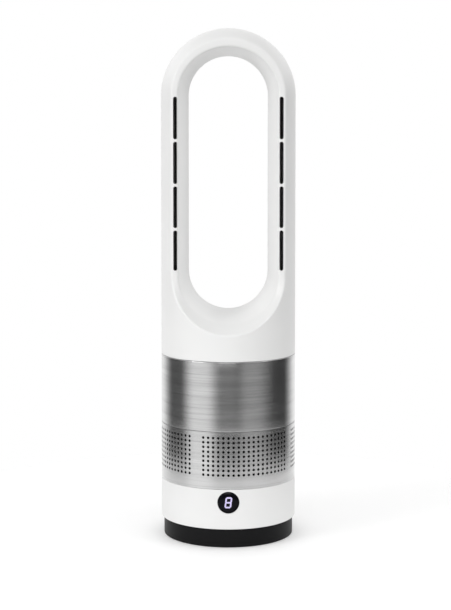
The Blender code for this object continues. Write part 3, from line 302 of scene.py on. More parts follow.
def crest_points(lines, offset):
    """The crest moved out by an offset over the body. Over the arch and limbs the body is a circle of the body's radius
    in every plane through the centre line. Below, the crest lies on the body's cylinder, unrolled to
    (R asin(r nx / R), centre + r nz), and the offset is along its normal there."""
    nx, nz, middle = lines.T
    turn = math.acos(CREST / BODY) - offset / BODY
    upper = on_loop(lines, BODY * math.cos(turn), -BODY * math.sin(turn))
    across = np.sqrt(BODY**2 - (CREST * nx) ** 2)
    along, rise = -CREST * nz * BODY / across, CREST * nx
    length = np.hypot(along, rise)
    spread = BODY * np.arcsin(CREST * nx / BODY) + offset * rise / length
    level = middle + CREST * nz - offset * along / length
    lower = np.stack([BODY * np.sin(spread / BODY), -BODY * np.cos(spread / BODY), level], axis=-1)
    return np.where((nz < 0.0)[:, None], lower, upper)


def stretch(start, end, shares):
    """Rows of points on straight lines from start to end, at the shares of the way given."""
    shares = np.asarray(shares)[None, :, None]
    return start[:, None, :] * (1 - shares) + end[:, None, :] * shares


def toward(start, end, distance):
    """Points a distance from start on the way to end."""
    gap = end - start
    return start + gap * distance / np.linalg.norm(gap, axis=1, keepdims=True)


def loop_surface(lines):
    """Rows of points from the front body over the crest, lip, inner wall and rear roll to the rear body."""
    size = sizes()
    lip, throat = CREST - size.lip_width, CREST - size.lip_width - size.wall_slope
    low = np.maximum(-lines[:, 1], 0.0)
    lip_line = lip - size.arch_lip * np.maximum(lines[:, 1], 0.0) ** 2
    evenly = np.linspace(0.0, 1.0, 9)[1:-1]
    near_ends = np.array([0.02, 0.08, 0.2, 0.35, 0.5, 0.65, 0.8, 0.92, 0.98])
    edge = crest_points(lines, 0.0)
    front_lip = on_loop(lines, lip_line, -LIP_DEPTH)
    throat_line = on_loop(lines, throat, THROAT_DEPTH)
    crest = bend(crest_points(lines, size.crest_round), edge, toward(edge, front_lip, size.crest_round))
    corner = bend(toward(front_lip, edge, size.lip_round), front_lip, toward(front_lip, throat_line, size.lip_round))
    shelf = stretch(crest[:, -1], corner[:, 0], evenly)
    wall = stretch(corner[:, -1], throat_line, near_ends)

    rear_edge = edge * BACK
    share = (BODY - LIP_DEPTH) / (BODY - THROAT_DEPTH)
    deep_lip = CREST + (throat - CREST) * share
    rear_radius = lip + (deep_lip - lip) * low
    rear_lip = on_loop(lines, rear_radius, LIP_DEPTH)
    square = on_loop(lines, throat, LIP_DEPTH)
    control = square + (0.5 * (rear_lip + throat_line) - square) * low[:, None]
    roll = bend(throat_line, control, rear_lip, 13)
    rear_crest = bend(toward(rear_edge, rear_lip, size.crest_round), rear_edge,
                      crest_points(lines, size.crest_round) * BACK)
    rear_shelf = stretch(roll[:, -1], rear_crest[:, 0], evenly)
    return np.concatenate([crest, shelf, corner, wall, roll, rear_shelf, rear_crest], axis=1)


def band_surface(lines, steps=28):
    """The side band over the arch and limbs: (nx R cos t, R sin t, centre + nz R cos t) between the two crests."""
    turn = math.acos(CREST / BODY) - sizes().crest_round / BODY
    t = np.linspace(-turn, turn, steps + 1)[None, :, None]
    nx, nz, middle = (lines[:, k][:, None, None] for k in range(3))
    reach = BODY * np.cos(t)
    return np.concatenate([nx * reach, BODY * np.sin(t) + 0 * nx, middle + nz * reach], axis=-1)


def body_surface(rim, base_round, steps=30):
    """The body below the loop: upright lines from a small rounded lower edge to the rim's points."""
    share = np.linspace(0.0, 1.0, steps + 1)[None, :, None]
    foot = rim.copy()
    foot[:, 2] = HEAD_BASE + base_round
    wall = foot[:, None, :] * (1 - share) + rim[:, None, :] * share
    turn = np.linspace(np.pi / 2, 0.0, 6)[:-1]
    inward = 1 - base_round * (1 - np.cos(turn)) / BODY
    curl = np.stack([foot[:, :1] * inward, foot[:, 1:2] * inward, 0 * foot[:, :1] + HEAD_BASE + base_round
                     - base_round * np.sin(turn)], axis=-1)
    return np.concatenate([curl, wall], axis=1)


def slit_cutter():
    """Round-ended slots down both limbs: outlines (x + r cos t, z +- h + r sin t) carried from front to back."""
    size = sizes()
    share = np.array(SLIT_SHARES)
    radius = size.slit_width / 2
    run = STRIP_HIGH.z - STRIP_LOW.z - (len(share) + 1) * size.slit_bridge
    bottoms = STRIP_LOW.z + size.slit_bridge * np.arange(1, len(share) + 1) + run * (np.cumsum(share) - share)
    half = share * run / 2 - radius
    turn = np.linspace(0.0, np.pi, 9)
    cap = np.stack([0 * half[:, None] + radius * np.cos(turn), half[:, None] + radius * np.sin(turn)], axis=-1)
    outline = np.concatenate([cap, -cap], axis=1)
    level = outline[..., 1] + (bottoms + share * run / 2)[:, None]
    centre = CREST - size.lip_width + size.slit_inset
    front = -LIP_DEPTH - CUT_PAST
    slots = [np.stack([outline[..., 0] + side * centre, 0 * level + depth, level], axis=-1)
             for side in (-1.0, 1.0) for depth in (front, front + CUT_PAST + SLIT_DEPTH)]
    points = np.stack([np.stack(slots[:2], axis=1), np.stack(slots[2:], axis=1)]).reshape(-1, 3)
    count = outline.shape[1]
    faces = [face for number in range(2 * len(share)) for face in prism_faces(count, number * 2 * count)]
    return link_object("slit_cutter", plain_mesh("slit_cutter", points, faces))


def make_head():
    """The white loop in one skin: band, rounded crest, lip, sloping wall, rear roll and the body under it."""
    lines = loop_lines()
    surface = loop_surface(lines)
    steps, across = surface.shape[:2]
    upper = lines[:, 1] >= 0.0
    scoop_start = int(np.argmax(~upper)) - 1
    scoop_end = steps - int(np.argmax(~upper[::-1]))
    above = np.concatenate([lines[scoop_end:], lines[:scoop_start + 1]])
    band = band_surface(above)
    scoop = crest_points(lines[scoop_start:scoop_end + 1], sizes().crest_round)
    rim = np.concatenate([scoop, band[0][1:], (scoop * BACK)[::-1][1:], band[-1][::-1][1:-1]])
    body = body_surface(rim, HEAD_LOW_ROUND)

    points = [surface.reshape(-1, 3), band.reshape(-1, 3), body.reshape(-1, 3)]
    faces = [grid_quads(steps, across, wrap_rows=True), grid_quads(*band.shape[:2]),
             grid_quads(*body.shape[:2], wrap_rows=True)]
    starts = np.cumsum([0] + [len(part) for part in points[:-1]])
    mesh = make_mesh("head_skin", np.vstack(points), np.vstack([f + s for f, s in zip(faces, starts)]), weld=4e-6)
    head = link_piece("head_skin", mesh, white_plastic())
    thicken(head, sizes().shell_wall)
    cut(head, slit_cutter())
    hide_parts("head_shell", "front_bezel", "rear_bezel")
    return [head]


# The body.


def ring_outline(outer, inner, low, high, low_round, high_round):
    """A tube's closed outline: outer wall up between two roundings, then square down the bore."""
    wall = np.linspace(low + low_round, high - high_round, 9)[1:-1]
    return np.vstack([
        [[inner, low]],
        arc((outer - low_round, low + low_round), low_round, -90, 0),
        np.stack([0 * wall + outer, wall], axis=-1),
        arc((outer - high_round, high - high_round), high_round, 0, 90),
        [[inner, high]],
    ])


def round_cutter(name, level, radius, front, back):
    """A round plug along Y: (r cos t, y, z + r sin t)."""
    turn = np.arange(DISC_STEPS) * 2 * np.pi / DISC_STEPS
    rings = [np.stack([radius * np.cos(turn), 0 * turn + y, level + radius * np.sin(turn)], axis=-1)
             for y in (front, back)]
    return link_object(name, plain_mesh(name, np.vstack(rings), prism_faces(DISC_STEPS)))


def make_ring():
    """The white ring under the inlet, with soft edges and an opening for the display."""
    profile = ring_outline(RING_HIGH.x, RING_HIGH.x - RING_WALL, RING_LOW.z, RING_HIGH.z, RING_LOW_ROUND,
                           RING_HIGH_ROUND)
    ring = turned_piece("ring_skin", profile, ring_white())
    cut(ring, round_cutter("display_opening", LENS_LEVEL, LENS_RADIUS + LENS_PLAY, -BODY - CUT_PAST,
                           -BODY + RING_WALL + 2 * CUT_PAST))
    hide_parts("control_ring")
    return [ring]


def make_foot():
    """The black foot: an upright skirt round a flange, with the round hole of the power inlet."""
    high, low = FOOT_HIGH.z, FOOT_LOW.z
    radius, edge, top = FOOT_HIGH.x, FOOT_LOW_ROUND, FOOT_HIGH_ROUND
    inner, ledge = radius - FOOT_WALL, radius - FOOT_LEDGE
    wall = np.linspace(low + edge, high - top, 7)[1:-1]
    outline = np.vstack([
        [[inner, low + edge], [inner + edge * 0.3, low + edge * 0.3], [inner + edge, low]],
        arc((radius - edge, low + edge), edge, -90, 0),
        np.stack([0 * wall + radius, wall], axis=-1),
        arc((radius - top, high - top), top, 0, 90, 5),
        [[inner, high], [inner, FOOT_FLANGE + FOOT_WALL], [ledge, FOOT_FLANGE + FOOT_WALL],
         [ledge, FOOT_FLANGE], [inner, FOOT_FLANGE]],
    ])
    foot = turned_piece("foot_skin", outline, black_plastic())
    jack_low, jack_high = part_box("power_jack")
    cut(foot, round_cutter("inlet_opening", (jack_low.z + jack_high.z) / 2, SOCKET_RADIUS, radius - 1.5 * CUT_PAST,
                           radius + CUT_PAST))
    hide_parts("base_shell")
    return [foot]


def make_casing():
    """The plain steel sleeve, with rolled edges."""
    profile = ring_outline(CASING_HIGH.x, CASING_HIGH.x - SHEET, CASING_LOW.z, CASING_HIGH.z, SHEET_ROUND,
                           SHEET_ROUND)
    casing = turned_piece("casing_skin", profile, brushed_steel())
    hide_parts("steel_casing")
    return [casing]


def screen_lines():
    """Angles of the sheet's columns and heights of its rows, and where each hole's cell of four by four starts."""
    size = sizes()
    half_panel = size.hole_turn * size.hole_columns / 2
    gap_steps, cell_steps = 6, 4
    angles, cell_columns = [], []
    for panel in range(4):
        start = size.panel_turn + panel * np.pi / 2 - half_panel
        cell_columns += [len(angles) + cell_steps * k for k in range(size.hole_columns)]
        angles += list(start + size.hole_turn / cell_steps * np.arange(cell_steps * size.hole_columns))
        gap = np.pi / 2 - 2 * half_panel
        angles += list(start + 2 * half_panel + gap / gap_steps * np.arange(gap_steps))
    middle = (SCREEN_LOW.z + PLAIN_LOW + SCREEN_HIGH.z - PLAIN_HIGH) / 2
    first = middle - size.hole_step * size.hole_rows / 2
    edge = np.array([0.0, 0.0005, 0.003])
    levels = np.concatenate([SCREEN_LOW.z + edge,
                             first + size.hole_step / cell_steps * np.arange(cell_steps * size.hole_rows + 1),
                             (SCREEN_HIGH.z - edge)[::-1]])
    cell_rows = [len(edge) + cell_steps * k for k in range(size.hole_rows)]
    return np.array(angles), levels, np.array(cell_columns), np.array(cell_rows)


def make_screen():
    """The drilled inlet: a cylinder of columns and rows, with each hole's cell made of sixteen faces between the
    cell's square edge and a circle at (R a + r cos t, z + r sin t) on the unrolled sheet."""
    size = sizes()
    angles, levels, cell_columns, cell_rows = screen_lines()
    columns, rows = len(angles), len(levels)
    unrolled = np.stack(np.meshgrid(angles * BODY, levels), axis=-1)
    index = np.arange(rows * columns).reshape(rows, columns)
    side = [(0, 0), (0, 1), (0, 2), (0, 3), (0, 4), (1, 4), (2, 4), (3, 4),
            (4, 4), (4, 3), (4, 2), (4, 1), (4, 0), (3, 0), (2, 0), (1, 0)]
    offset = np.array(side)
    row0, column0 = (grid.reshape(-1, 1) for grid in np.meshgrid(cell_rows, cell_columns, indexing="ij"))
    border = index[row0 + offset[:, 0], (column0 + offset[:, 1]) % columns]
    turn = np.arctan2(offset[:, 0] - 2.0, offset[:, 1] - 2.0)
    centre = np.stack([(angles[column0[:, 0]] + size.hole_turn / 2) * BODY,
                       levels[row0[:, 0]] + size.hole_step / 2], axis=-1)
    circle = centre[:, None, :] + size.hole_size / 2 * np.stack([np.cos(turn), np.sin(turn)], axis=-1)
    inner = rows * columns + np.arange(len(border) * 16).reshape(-1, 16)
    ring = np.stack([border, np.roll(border, -1, 1), np.roll(inner, -1, 1), inner], axis=-1).reshape(-1, 4)
    whole = np.ones((rows - 1, columns), bool)
    for row in range(4):
        for column in range(4):
            whole[row0 + row, column0 + column] = False
    quads = grid_quads(rows, columns, wrap_columns=True)[whole.reshape(-1)]
    flat = np.vstack([unrolled.reshape(-1, 2), circle.reshape(-1, 2)])
    around = flat[:, 0] / BODY
    points = np.stack([BODY * np.sin(around), -BODY * np.cos(around), flat[:, 1]], axis=-1)
    faces = np.vstack([quads, ring])
    used, places = np.unique(faces, return_inverse=True)
    mesh = make_mesh("screen_skin", points[used], places.reshape(faces.shape))
    screen = link_piece("screen_skin", mesh, brushed_steel())
    thicken(screen, SHEET)
    shade(screen.data)
    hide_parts("inlet_screen")
    return [screen]


def make_shade_sleeve():
    """A thin near-black sleeve inside the cage, just behind the holes: painted shade that keeps the holes dark."""
    radius = BODY - SHADE_SLEEVE_GAP
    profile = ring_outline(radius, radius - SHADE_SLEEVE_WALL, SCREEN_LOW.z + SHADE_SLEEVE_INSET, SCREEN_HIGH.z - SHADE_SLEEVE_INSET,
                           SHADE_SLEEVE_WALL / 4, SHADE_SLEEVE_WALL / 4)
    sleeve = turned_piece("painted_shade_sleeve", profile, filter_weave(), 128)
    return [sleeve]


# The display.


def on_front(across, level, sink):
    """Points on the body's front at (x, z), sunk a little: y = sink - sqrt(R^2 - x^2)."""
    across = np.asarray(across, float)
    return np.stack([across, sink - np.sqrt(BODY**2 - across**2), 0 * across + level], axis=-1)


def disc(name, rows, finish):
    """A closed button: rows of (radius, sink) from the front pole to the back pole, laid on the body's front."""
    turn = np.arange(DISC_STEPS) * 2 * np.pi / DISC_STEPS
    rows = np.asarray(rows, float)
    radius, sink = rows[:, :1], rows[:, 1:]
    points = on_front(radius * np.cos(turn), LENS_LEVEL + radius * np.sin(turn), sink)
    return link_piece(name, make_mesh(name, points, grid_quads(*points.shape[:2], wrap_columns=True)), finish)


def bar_outline(length, stroke, count=9):
    """A lit bar along X with tapered ends rounded off: a stadium squeezed towards its points."""
    turn = np.linspace(-np.pi / 2, np.pi / 2, count)
    half = length / 2 - stroke / 2
    cap = np.sign(np.sin(turn)) * np.abs(np.sin(turn)) ** 0.8
    right = np.stack([half + stroke / 2 * np.cos(turn), stroke / 2 * cap], axis=-1)
    return np.vstack([right, -right])


def make_digit():
    """The lit figure: seven bars, sheared to lean, each a thin block on the lens."""
    size = sizes()
    high, wide, stroke = size.digit_height / 2, size.digit_width / 2, size.digit_stroke
    reach_z, reach_x = high - stroke / 2, wide - stroke / 2
    across, upright = 2 * reach_x - 0.0002, reach_z - 0.0002
    bars = [(0.0, reach_z, across, 0), (0.0, 0.0, across, 0), (0.0, -reach_z, across, 0),
            (-reach_x, reach_z / 2, upright, 1), (reach_x, reach_z / 2, upright, 1),
            (-reach_x, -reach_z / 2, upright, 1), (reach_x, -reach_z / 2, upright, 1)]
    lean = math.tan(math.radians(DIGIT_LEAN_DEG))
    points, faces = [], []
    for x, z, length, up in bars:
        outline = bar_outline(length, stroke)
        if up:
            outline = outline[:, ::-1]
        flat = outline + (x, z)
        around = flat[:, 0] + lean * flat[:, 1]
        for sink in (0.00004, 0.0003):
            points.append(on_front(around, LENS_LEVEL + flat[:, 1], sink))
        faces += prism_faces(len(outline), (len(points) - 2) * len(outline))
    digit = link_piece("lit_digit", plain_mesh("lit_digit", np.vstack(points), faces), digit_light())
    return digit


def make_display():
    """The glossy black lens with a thin moulded rim and the lit figure, all on the press button."""
    outer, rim = LENS_RADIUS, LENS_RADIUS - 0.0007
    glass = disc("lens_skin", [(0.0, 0.00012), (rim * 0.5, 0.00012), (rim - 0.0004, 0.00012), (rim, 0.00035),
                               (rim, 0.0018), (0.0, 0.0018)], lens_gloss())
    frame_rows = [(rim + 0.00005, 0.0019), (rim + 0.00005, 0.0004), (rim + 0.0002, 0.00012),
                  (outer - 0.0001, 0.00012), (outer, 0.0003), (outer, 0.0019), (rim + 0.00005, 0.0019)]
    bezel = disc("lens_rim", frame_rows, black_plastic())
    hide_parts("display_lens")
    return [glass, bezel, make_digit()]


# The finishes.


def new_finish(name, colour, roughness, metallic=0.0):
    """A Principled finish; returns (material, nodes, links, shader, place) with place the object coordinates."""
    material = bpy.data.materials.new(name)
    material.use_nodes = True
    material.diffuse_color = (*colour, 1.0)
    nodes, links = material.node_tree.nodes, material.node_tree.links
    shader = nodes["Principled BSDF"]
    shader.inputs["Base Color"].default_value = (*colour, 1.0)
    shader.inputs["Roughness"].default_value = roughness
    shader.inputs["Metallic"].default_value = metallic
    place = nodes.new("ShaderNodeTexCoord").outputs["Object"]
    return material, nodes, links, shader, place


def noise(nodes, links, place, scale, detail=3.0, stretch_by=(1.0, 1.0, 1.0)):
    """Noise on the object's own coordinates, stretched along any of them."""
    mapping = nodes.new("ShaderNodeMapping")
    mapping.inputs["Scale"].default_value = stretch_by
    texture = nodes.new("ShaderNodeTexNoise")
    texture.inputs["Scale"].default_value = scale
    texture.inputs["Detail"].default_value = detail
    links.new(place, mapping.inputs["Vector"])
    links.new(mapping.outputs["Vector"], texture.inputs["Vector"])
    return texture.outputs["Fac"]


def spread(nodes, links, source, low, high):
    """Carries 0..1 onto low..high."""
    node = nodes.new("ShaderNodeMapRange")
    node.inputs["From Min"].default_value = 0.25
    node.inputs["From Max"].default_value = 0.75
    node.inputs["To Min"].default_value = low
    node.inputs["To Max"].default_value = high
    links.new(source, node.inputs["Value"])
    return node.outputs["Result"]


def relief(nodes, links, shader, height, distance, strength=1.0):
    """A bump from a height, its depth in metres."""
    node = nodes.new("ShaderNodeBump")
    node.inputs["Distance"].default_value = distance
    node.inputs["Strength"].default_value = strength
    links.new(height, node.inputs["Height"])
    links.new(node.outputs["Normal"], shader.inputs["Normal"])


def tint(nodes, links, shader, source, dark, light):
    """Base colour between two colours by a 0..1 value."""
    node = nodes.new("ShaderNodeValToRGB")
    node.color_ramp.elements[0].position, node.color_ramp.elements[1].position = 0.3, 0.7
    node.color_ramp.elements[0].color = (*dark, 1.0)
    node.color_ramp.elements[1].color = (*light, 1.0)
    links.new(source, node.inputs["Fac"])
    links.new(node.outputs["Color"], shader.inputs["Base Color"])


def scaled(colour, by):
    return tuple(min(1.0, c * by) for c in colour)


def moulded(name, colour, roughness, grain, depth, gloss=0.5):
    """Moulded plastic: fine spark-eroded grain, and a faint unevenness of tone and gloss."""
    if name in bpy.data.materials:
        return bpy.data.materials[name]
    material, nodes, links, shader, place = new_finish(name, colour, roughness)
    shader.inputs["Specular IOR Level"].default_value = gloss
    cloud = noise(nodes, links, place, 18.0, 2.0)
    tint(nodes, links, shader, cloud, scaled(colour, 0.985), scaled(colour, 1.015))
    links.new(spread(nodes, links, cloud, roughness - 0.02, roughness + 0.02), shader.inputs["Roughness"])
    relief(nodes, links, shader, noise(nodes, links, place, grain, 2.0), depth)
    return material


def white_plastic():
    return moulded("satin_white_plastic", tuple(finishes().white), 0.42, 3500.0, 0.000004)


# The ring's white is the head's white darkened to 0.90: painted shade, a shaded copy of the same white plastic.
def ring_white():
    return moulded("ring_white", scaled(tuple(finishes().white), 0.90), 0.45, 3500.0, 0.000004)


def black_plastic():
    return moulded("satin_black_plastic", tuple(finishes().black), 0.45, 2600.0, 0.000008, 0.12)


def lens_gloss():
    return moulded("smoked_lens", (0.0015, 0.0013, 0.003), 0.10, 400.0, 0.0000004, 0.10)


# Near-black matt finish on the parts inside, seen through the slits and holes: painted shade, standing in for the shade
# inside the fan.
def dark_lining():
    return moulded("dark_lining", (0.004, 0.004, 0.004), 0.9, 900.0, 0.00002, 0.05)


def filter_weave():
    """Painted shade behind the holes, as a black net: fine threads round the sleeve, one above the other."""
    name = "filter_weave"
    if name in bpy.data.materials:
        return bpy.data.materials[name]
    material, nodes, links, shader, place = new_finish(name, (0.004, 0.004, 0.004), 0.85)
    shader.inputs["Specular IOR Level"].default_value = 0.05
    threads = nodes.new("ShaderNodeTexWave")
    threads.bands_direction = "Z"
    threads.inputs["Scale"].default_value = 260.0
    links.new(place, threads.inputs["Vector"])
    tint(nodes, links, shader, threads.outputs["Fac"], (0.002, 0.002, 0.002), (0.007, 0.007, 0.007))
    relief(nodes, links, shader, threads.outputs["Fac"], 0.0001)
    return material


def brushed_steel():
    """Stainless sheet brushed round the body: long streaks at each height, faint rolling lines and a soft gloss."""
    name = "brushed_steel_sheet"
    if name in bpy.data.materials:
        return bpy.data.materials[name]
    colour = tuple(finishes().steel)
    material, nodes, links, shader, place = new_finish(name, colour, 0.20, metallic=1.0)
    shader.inputs["Anisotropic"].default_value = 0.6
    shader.inputs["Anisotropic Rotation"].default_value = 0.25
    tangent = nodes.new("ShaderNodeTangent")
    tangent.direction_type, tangent.axis = "RADIAL", "Z"
    links.new(tangent.outputs["Tangent"], shader.inputs["Tangent"])
    streaks = noise(nodes, links, place, 1.0, 4.0, (16.0, 16.0, 1500.0))
    broad = noise(nodes, links, place, 1.0, 2.0, (10.0, 10.0, 170.0))
    both = nodes.new("ShaderNodeMath")
    both.operation = "ADD"
    half = nodes.new("ShaderNodeMath")
    half.operation, half.inputs[1].default_value = "MULTIPLY", 0.5
    links.new(streaks, both.inputs[0])
    links.new(broad, both.inputs[1])
    links.new(both.outputs[0], half.inputs[0])
    rolled = nodes.new("ShaderNodeTexWave")
    rolled.bands_direction = "Z"
    rolled.inputs["Scale"].default_value = 25.7
    links.new(place, rolled.inputs["Vector"])
    line = nodes.new("ShaderNodeMapRange")
    line.inputs["From Min"].default_value, line.inputs["To Max"].default_value = 0.96, 0.16
    links.new(rolled.outputs["Fac"], line.inputs["Value"])
    lined = nodes.new("ShaderNodeMath")
    lined.operation = "SUBTRACT"
    links.new(half.outputs[0], lined.inputs[0])
    links.new(line.outputs["Result"], lined.inputs[1])
    tint(nodes, links, shader, lined.outputs[0], scaled(colour, 0.86), scaled(colour, 1.10))
    links.new(spread(nodes, links, streaks, 0.15, 0.22), shader.inputs["Roughness"])
    relief(nodes, links, shader, half.outputs[0], 0.000006, 0.25)
    return material


def digit_light():
    """The lit bars: a soft emission that falls off slightly along each bar."""
    name = "digit_light"
    if name in bpy.data.materials:
        return bpy.data.materials[name]
    colour = tuple(finishes().digit)
    material, nodes, links, shader, place = new_finish(name, colour, 0.3)
    shader.inputs["Base Color"].default_value = (0.0, 0.0, 0.0, 1.0)
    shader.inputs["Emission Color"].default_value = (*colour, 1.0)
    level = spread(nodes, links, noise(nodes, links, place, 220.0, 1.0), 0.95, 1.10)
    links.new(level, shader.inputs["Emission Strength"])
    return material


def bare_metal(name, colour, roughness, stretch_by=(1.0, 1.0, 1.0), streak=900.0):
    """Turned, drawn or plated metal: tool marks as stretched noise."""
    if name in bpy.data.materials:
        return bpy.data.materials[name]
    material, nodes, links, shader, place = new_finish(name, colour, roughness, metallic=1.0)
    marks = noise(nodes, links, place, streak, 3.0, stretch_by)
    tint(nodes, links, shader, marks, scaled(colour, 0.85), scaled(colour, 1.1))
    links.new(spread(nodes, links, marks, roughness - 0.06, roughness + 0.08), shader.inputs["Roughness"])
    relief(nodes, links, shader, marks, 0.00001)
    return material


def board_lacquer():
    """Green board lacquer with faint copper tracks: a brick pattern seen through the lacquer."""
    name = "board_lacquer"
    if name in bpy.data.materials:
        return bpy.data.materials[name]
    material, nodes, links, shader, place = new_finish(name, (0.01, 0.10, 0.03), 0.3)
    tracks = nodes.new("ShaderNodeTexBrick")
    tracks.inputs["Scale"].default_value = 260.0
    tracks.inputs["Color1"].default_value = (0.008, 0.085, 0.025, 1.0)
    tracks.inputs["Color2"].default_value = (0.012, 0.11, 0.035, 1.0)
    tracks.inputs["Mortar"].default_value = (0.03, 0.17, 0.05, 1.0)
    tracks.inputs["Mortar Size"].default_value = 0.05
    links.new(place, tracks.inputs["Vector"])
    links.new(tracks.outputs["Color"], shader.inputs["Base Color"])
    relief(nodes, links, shader, tracks.outputs["Fac"], 0.00002)
    return material


def slot_finishes():
    """The finish that each of the record's material slots gets."""
    return {
        "white_plastic": white_plastic(),
        "black_plastic": black_plastic(),
        "display_black": black_plastic(),
        "grey_plastic": moulded("grey_plastic", (0.28, 0.28, 0.29), 0.5, 2200.0, 0.00001),
        "brushed_steel": brushed_steel(),
        "plain_steel": bare_metal("plated_steel", (0.62, 0.62, 0.63), 0.3, (1.0, 1.0, 6.0)),
        "rubber": moulded("matt_rubber", (0.02, 0.02, 0.02), 0.8, 1500.0, 0.00003),
        "circuit_board": board_lacquer(),
        "copper_winding": bare_metal("enamelled_copper", (0.72, 0.33, 0.14), 0.35, (1.0, 1.0, 12.0), 260.0),
        "brass": bare_metal("turned_brass", (0.72, 0.55, 0.25), 0.28, (0.2, 0.2, 8.0), 1200.0),
    }


def finish_frame_nodes():
    """Gives each CAD node that stays in view the finish of its slot; the parts inside get near-black painted shade
    instead.
    """
    finished = slot_finishes()
    count = 0
    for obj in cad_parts.values():
        for place in obj.material_slots:
            slot = place.material.name.split(".")[0] if place.material else ""
            if slot in finished:
                place.material = finished[slot]
                count += 1
    # Painted shade: the parts inside, seen through the slits and holes, are made near-black whatever their own finish.
    for name in ("inlet_cage", "bellmouth", "fan_housing", "nozzle_strip_left", "nozzle_strip_right"):
        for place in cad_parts[name].material_slots:
            place.material = dark_lining()
    if not count:
        raise RuntimeError("no CAD node has a material slot by a known name")


# The studio.


def soft_light(name, place, aim, size, power):
    """A rectangular soft light aimed at a point."""
    data = bpy.data.lights.new(name, "AREA")
    data.shape = "RECTANGLE"
    data.size, data.size_y = size
    data.energy = power
    obj = link_object(name, data)
    place = Vector(place)
    turn = (Vector(aim) - place).to_track_quat("-Z", "Y").to_matrix().to_4x4()
    obj.matrix_world = Matrix.Translation(place) @ turn
    return obj


# The studio at eye level, which the steel mirrors: what stands where, from and to in degrees round from the front,
# and its grey level. Each fades softly into the next.
STUDIO_PLAN = (
    ("left flag", -110, -90, 0.10),
    ("left window", -60, -40, 0.90),
    ("dark camera side", -10, 10, 0.15),
    ("right wall", 35, 45, 0.35),
    ("right flag", 90, 110, 0.05),
)
BACK_WALL_EDGE, BACK_WALL_TONE = 150, 1.0
# The same overhead, by how steeply it looks up (0 level, 1 straight up).
DOME_TONES = ((0.0, 1.0), (0.32, 1.0), (0.60, 0.55), (0.8, 0.38), (1.0, 0.32))
DOME_LIGHT = 1.62


def tone_ramp(nodes, tones):
    """A ramp of greys from (position, tone) pairs."""
    node = nodes.new("ShaderNodeValToRGB")
    ramp = node.color_ramp
    while len(ramp.elements) > 1:
        ramp.elements.remove(ramp.elements[-1])
    for number, (position, tone) in enumerate(tones):
        stop = ramp.elements[0] if number == 0 else ramp.elements.new(position)
        stop.position = position
        stop.color = (tone, tone, tone, 1.0)
    return node


def blend_colours(nodes, links, factor, low, high):
    """Mixes two colours; returns the mix's output. high may be a plain grey level."""
    node = nodes.new("ShaderNodeMix")
    node.data_type = "RGBA"
    links.new(factor, node.inputs["Factor"])
    links.new(low, node.inputs[6])
    if isinstance(high, float):
        node.inputs[7].default_value = (high, high, high, 1.0)
    else:
        links.new(high, node.inputs[7])
    return node.outputs[2]


def make_room():
    """The studio's surroundings by direction: at eye level a tone for each angle round the fan, which the steel
    mirrors, and over it a pale dome that lights the white parts."""
    world = bpy.data.worlds.new("studio_room")
    bpy.context.scene.world = world
    world.use_nodes = True
    nodes, links = world.node_tree.nodes, world.node_tree.links
    way = nodes.new("ShaderNodeTexCoord")
    parts = nodes.new("ShaderNodeSeparateXYZ")
    links.new(way.outputs["Generated"], parts.inputs["Vector"])
    flip = nodes.new("ShaderNodeMath")
    flip.operation, flip.inputs[1].default_value = "MULTIPLY", -1.0
    links.new(parts.outputs["Y"], flip.inputs[0])
    turn = nodes.new("ShaderNodeMath")
    turn.operation = "ARCTAN2"
    links.new(parts.outputs["X"], turn.inputs[0])
    links.new(flip.outputs[0], turn.inputs[1])
    along = nodes.new("ShaderNodeMapRange")
    along.inputs["From Min"].default_value, along.inputs["From Max"].default_value = -math.pi, math.pi
    links.new(turn.outputs[0], along.inputs["Value"])
    stops = [(angle, tone) for _, start, end, tone in STUDIO_PLAN for angle in (start, end)]
    wall = [(edge, BACK_WALL_TONE) for edge in (-180, -BACK_WALL_EDGE, BACK_WALL_EDGE, 180)]
    stops = wall[:2] + stops + wall[2:]
    level = tone_ramp(nodes, [((angle + 180) / 360, tone) for angle, tone in stops])
    level.color_ramp.interpolation = "EASE"
    links.new(along.outputs["Result"], level.inputs["Fac"])

    dome = tone_ramp(nodes, DOME_TONES)
    links.new(parts.outputs["Z"], dome.inputs["Fac"])
    bright = nodes.new("ShaderNodeVectorMath")
    bright.operation, bright.inputs["Scale"].default_value = "SCALE", DOME_LIGHT
    links.new(dome.outputs["Color"], bright.inputs[0])
    rise = nodes.new("ShaderNodeMapRange")
    rise.interpolation_type = "SMOOTHSTEP"
    rise.inputs["From Min"].default_value, rise.inputs["From Max"].default_value = 0.06, 0.36
    links.new(parts.outputs["Z"], rise.inputs["Value"])
    tone = blend_colours(nodes, links, rise.outputs["Result"], level.outputs["Color"], bright.outputs[0])
    seen = nodes.new("ShaderNodeLightPath").outputs["Is Camera Ray"]
    links.new(blend_colours(nodes, links, seen, tone, 1.0), nodes["Background"].inputs["Color"])
    return world


def make_floor():
    """A round pale floor that the fan stands on: rings of (r sin a, -r cos a, 0)."""
    points = revolve([(0.0, 0.0), (0.1, 0.0), (0.25, 0.0), (0.42, 0.0)], 96)
    mesh = make_mesh("floor", points, grid_quads(*points.shape[:2], wrap_columns=True), turn_out=False)
    material, nodes, links, shader, place = new_finish("pale_floor", (0.92, 0.92, 0.92), 0.7)
    tint(nodes, links, shader, noise(nodes, links, place, 3.0, 1.0), (0.91, 0.91, 0.91), (0.93, 0.93, 0.93))
    shader.inputs["Emission Color"].default_value = (1.0, 1.0, 1.0, 1.0)
    shader.inputs["Emission Strength"].default_value = 0.14
    floor = link_piece("floor", mesh, material)
    return floor


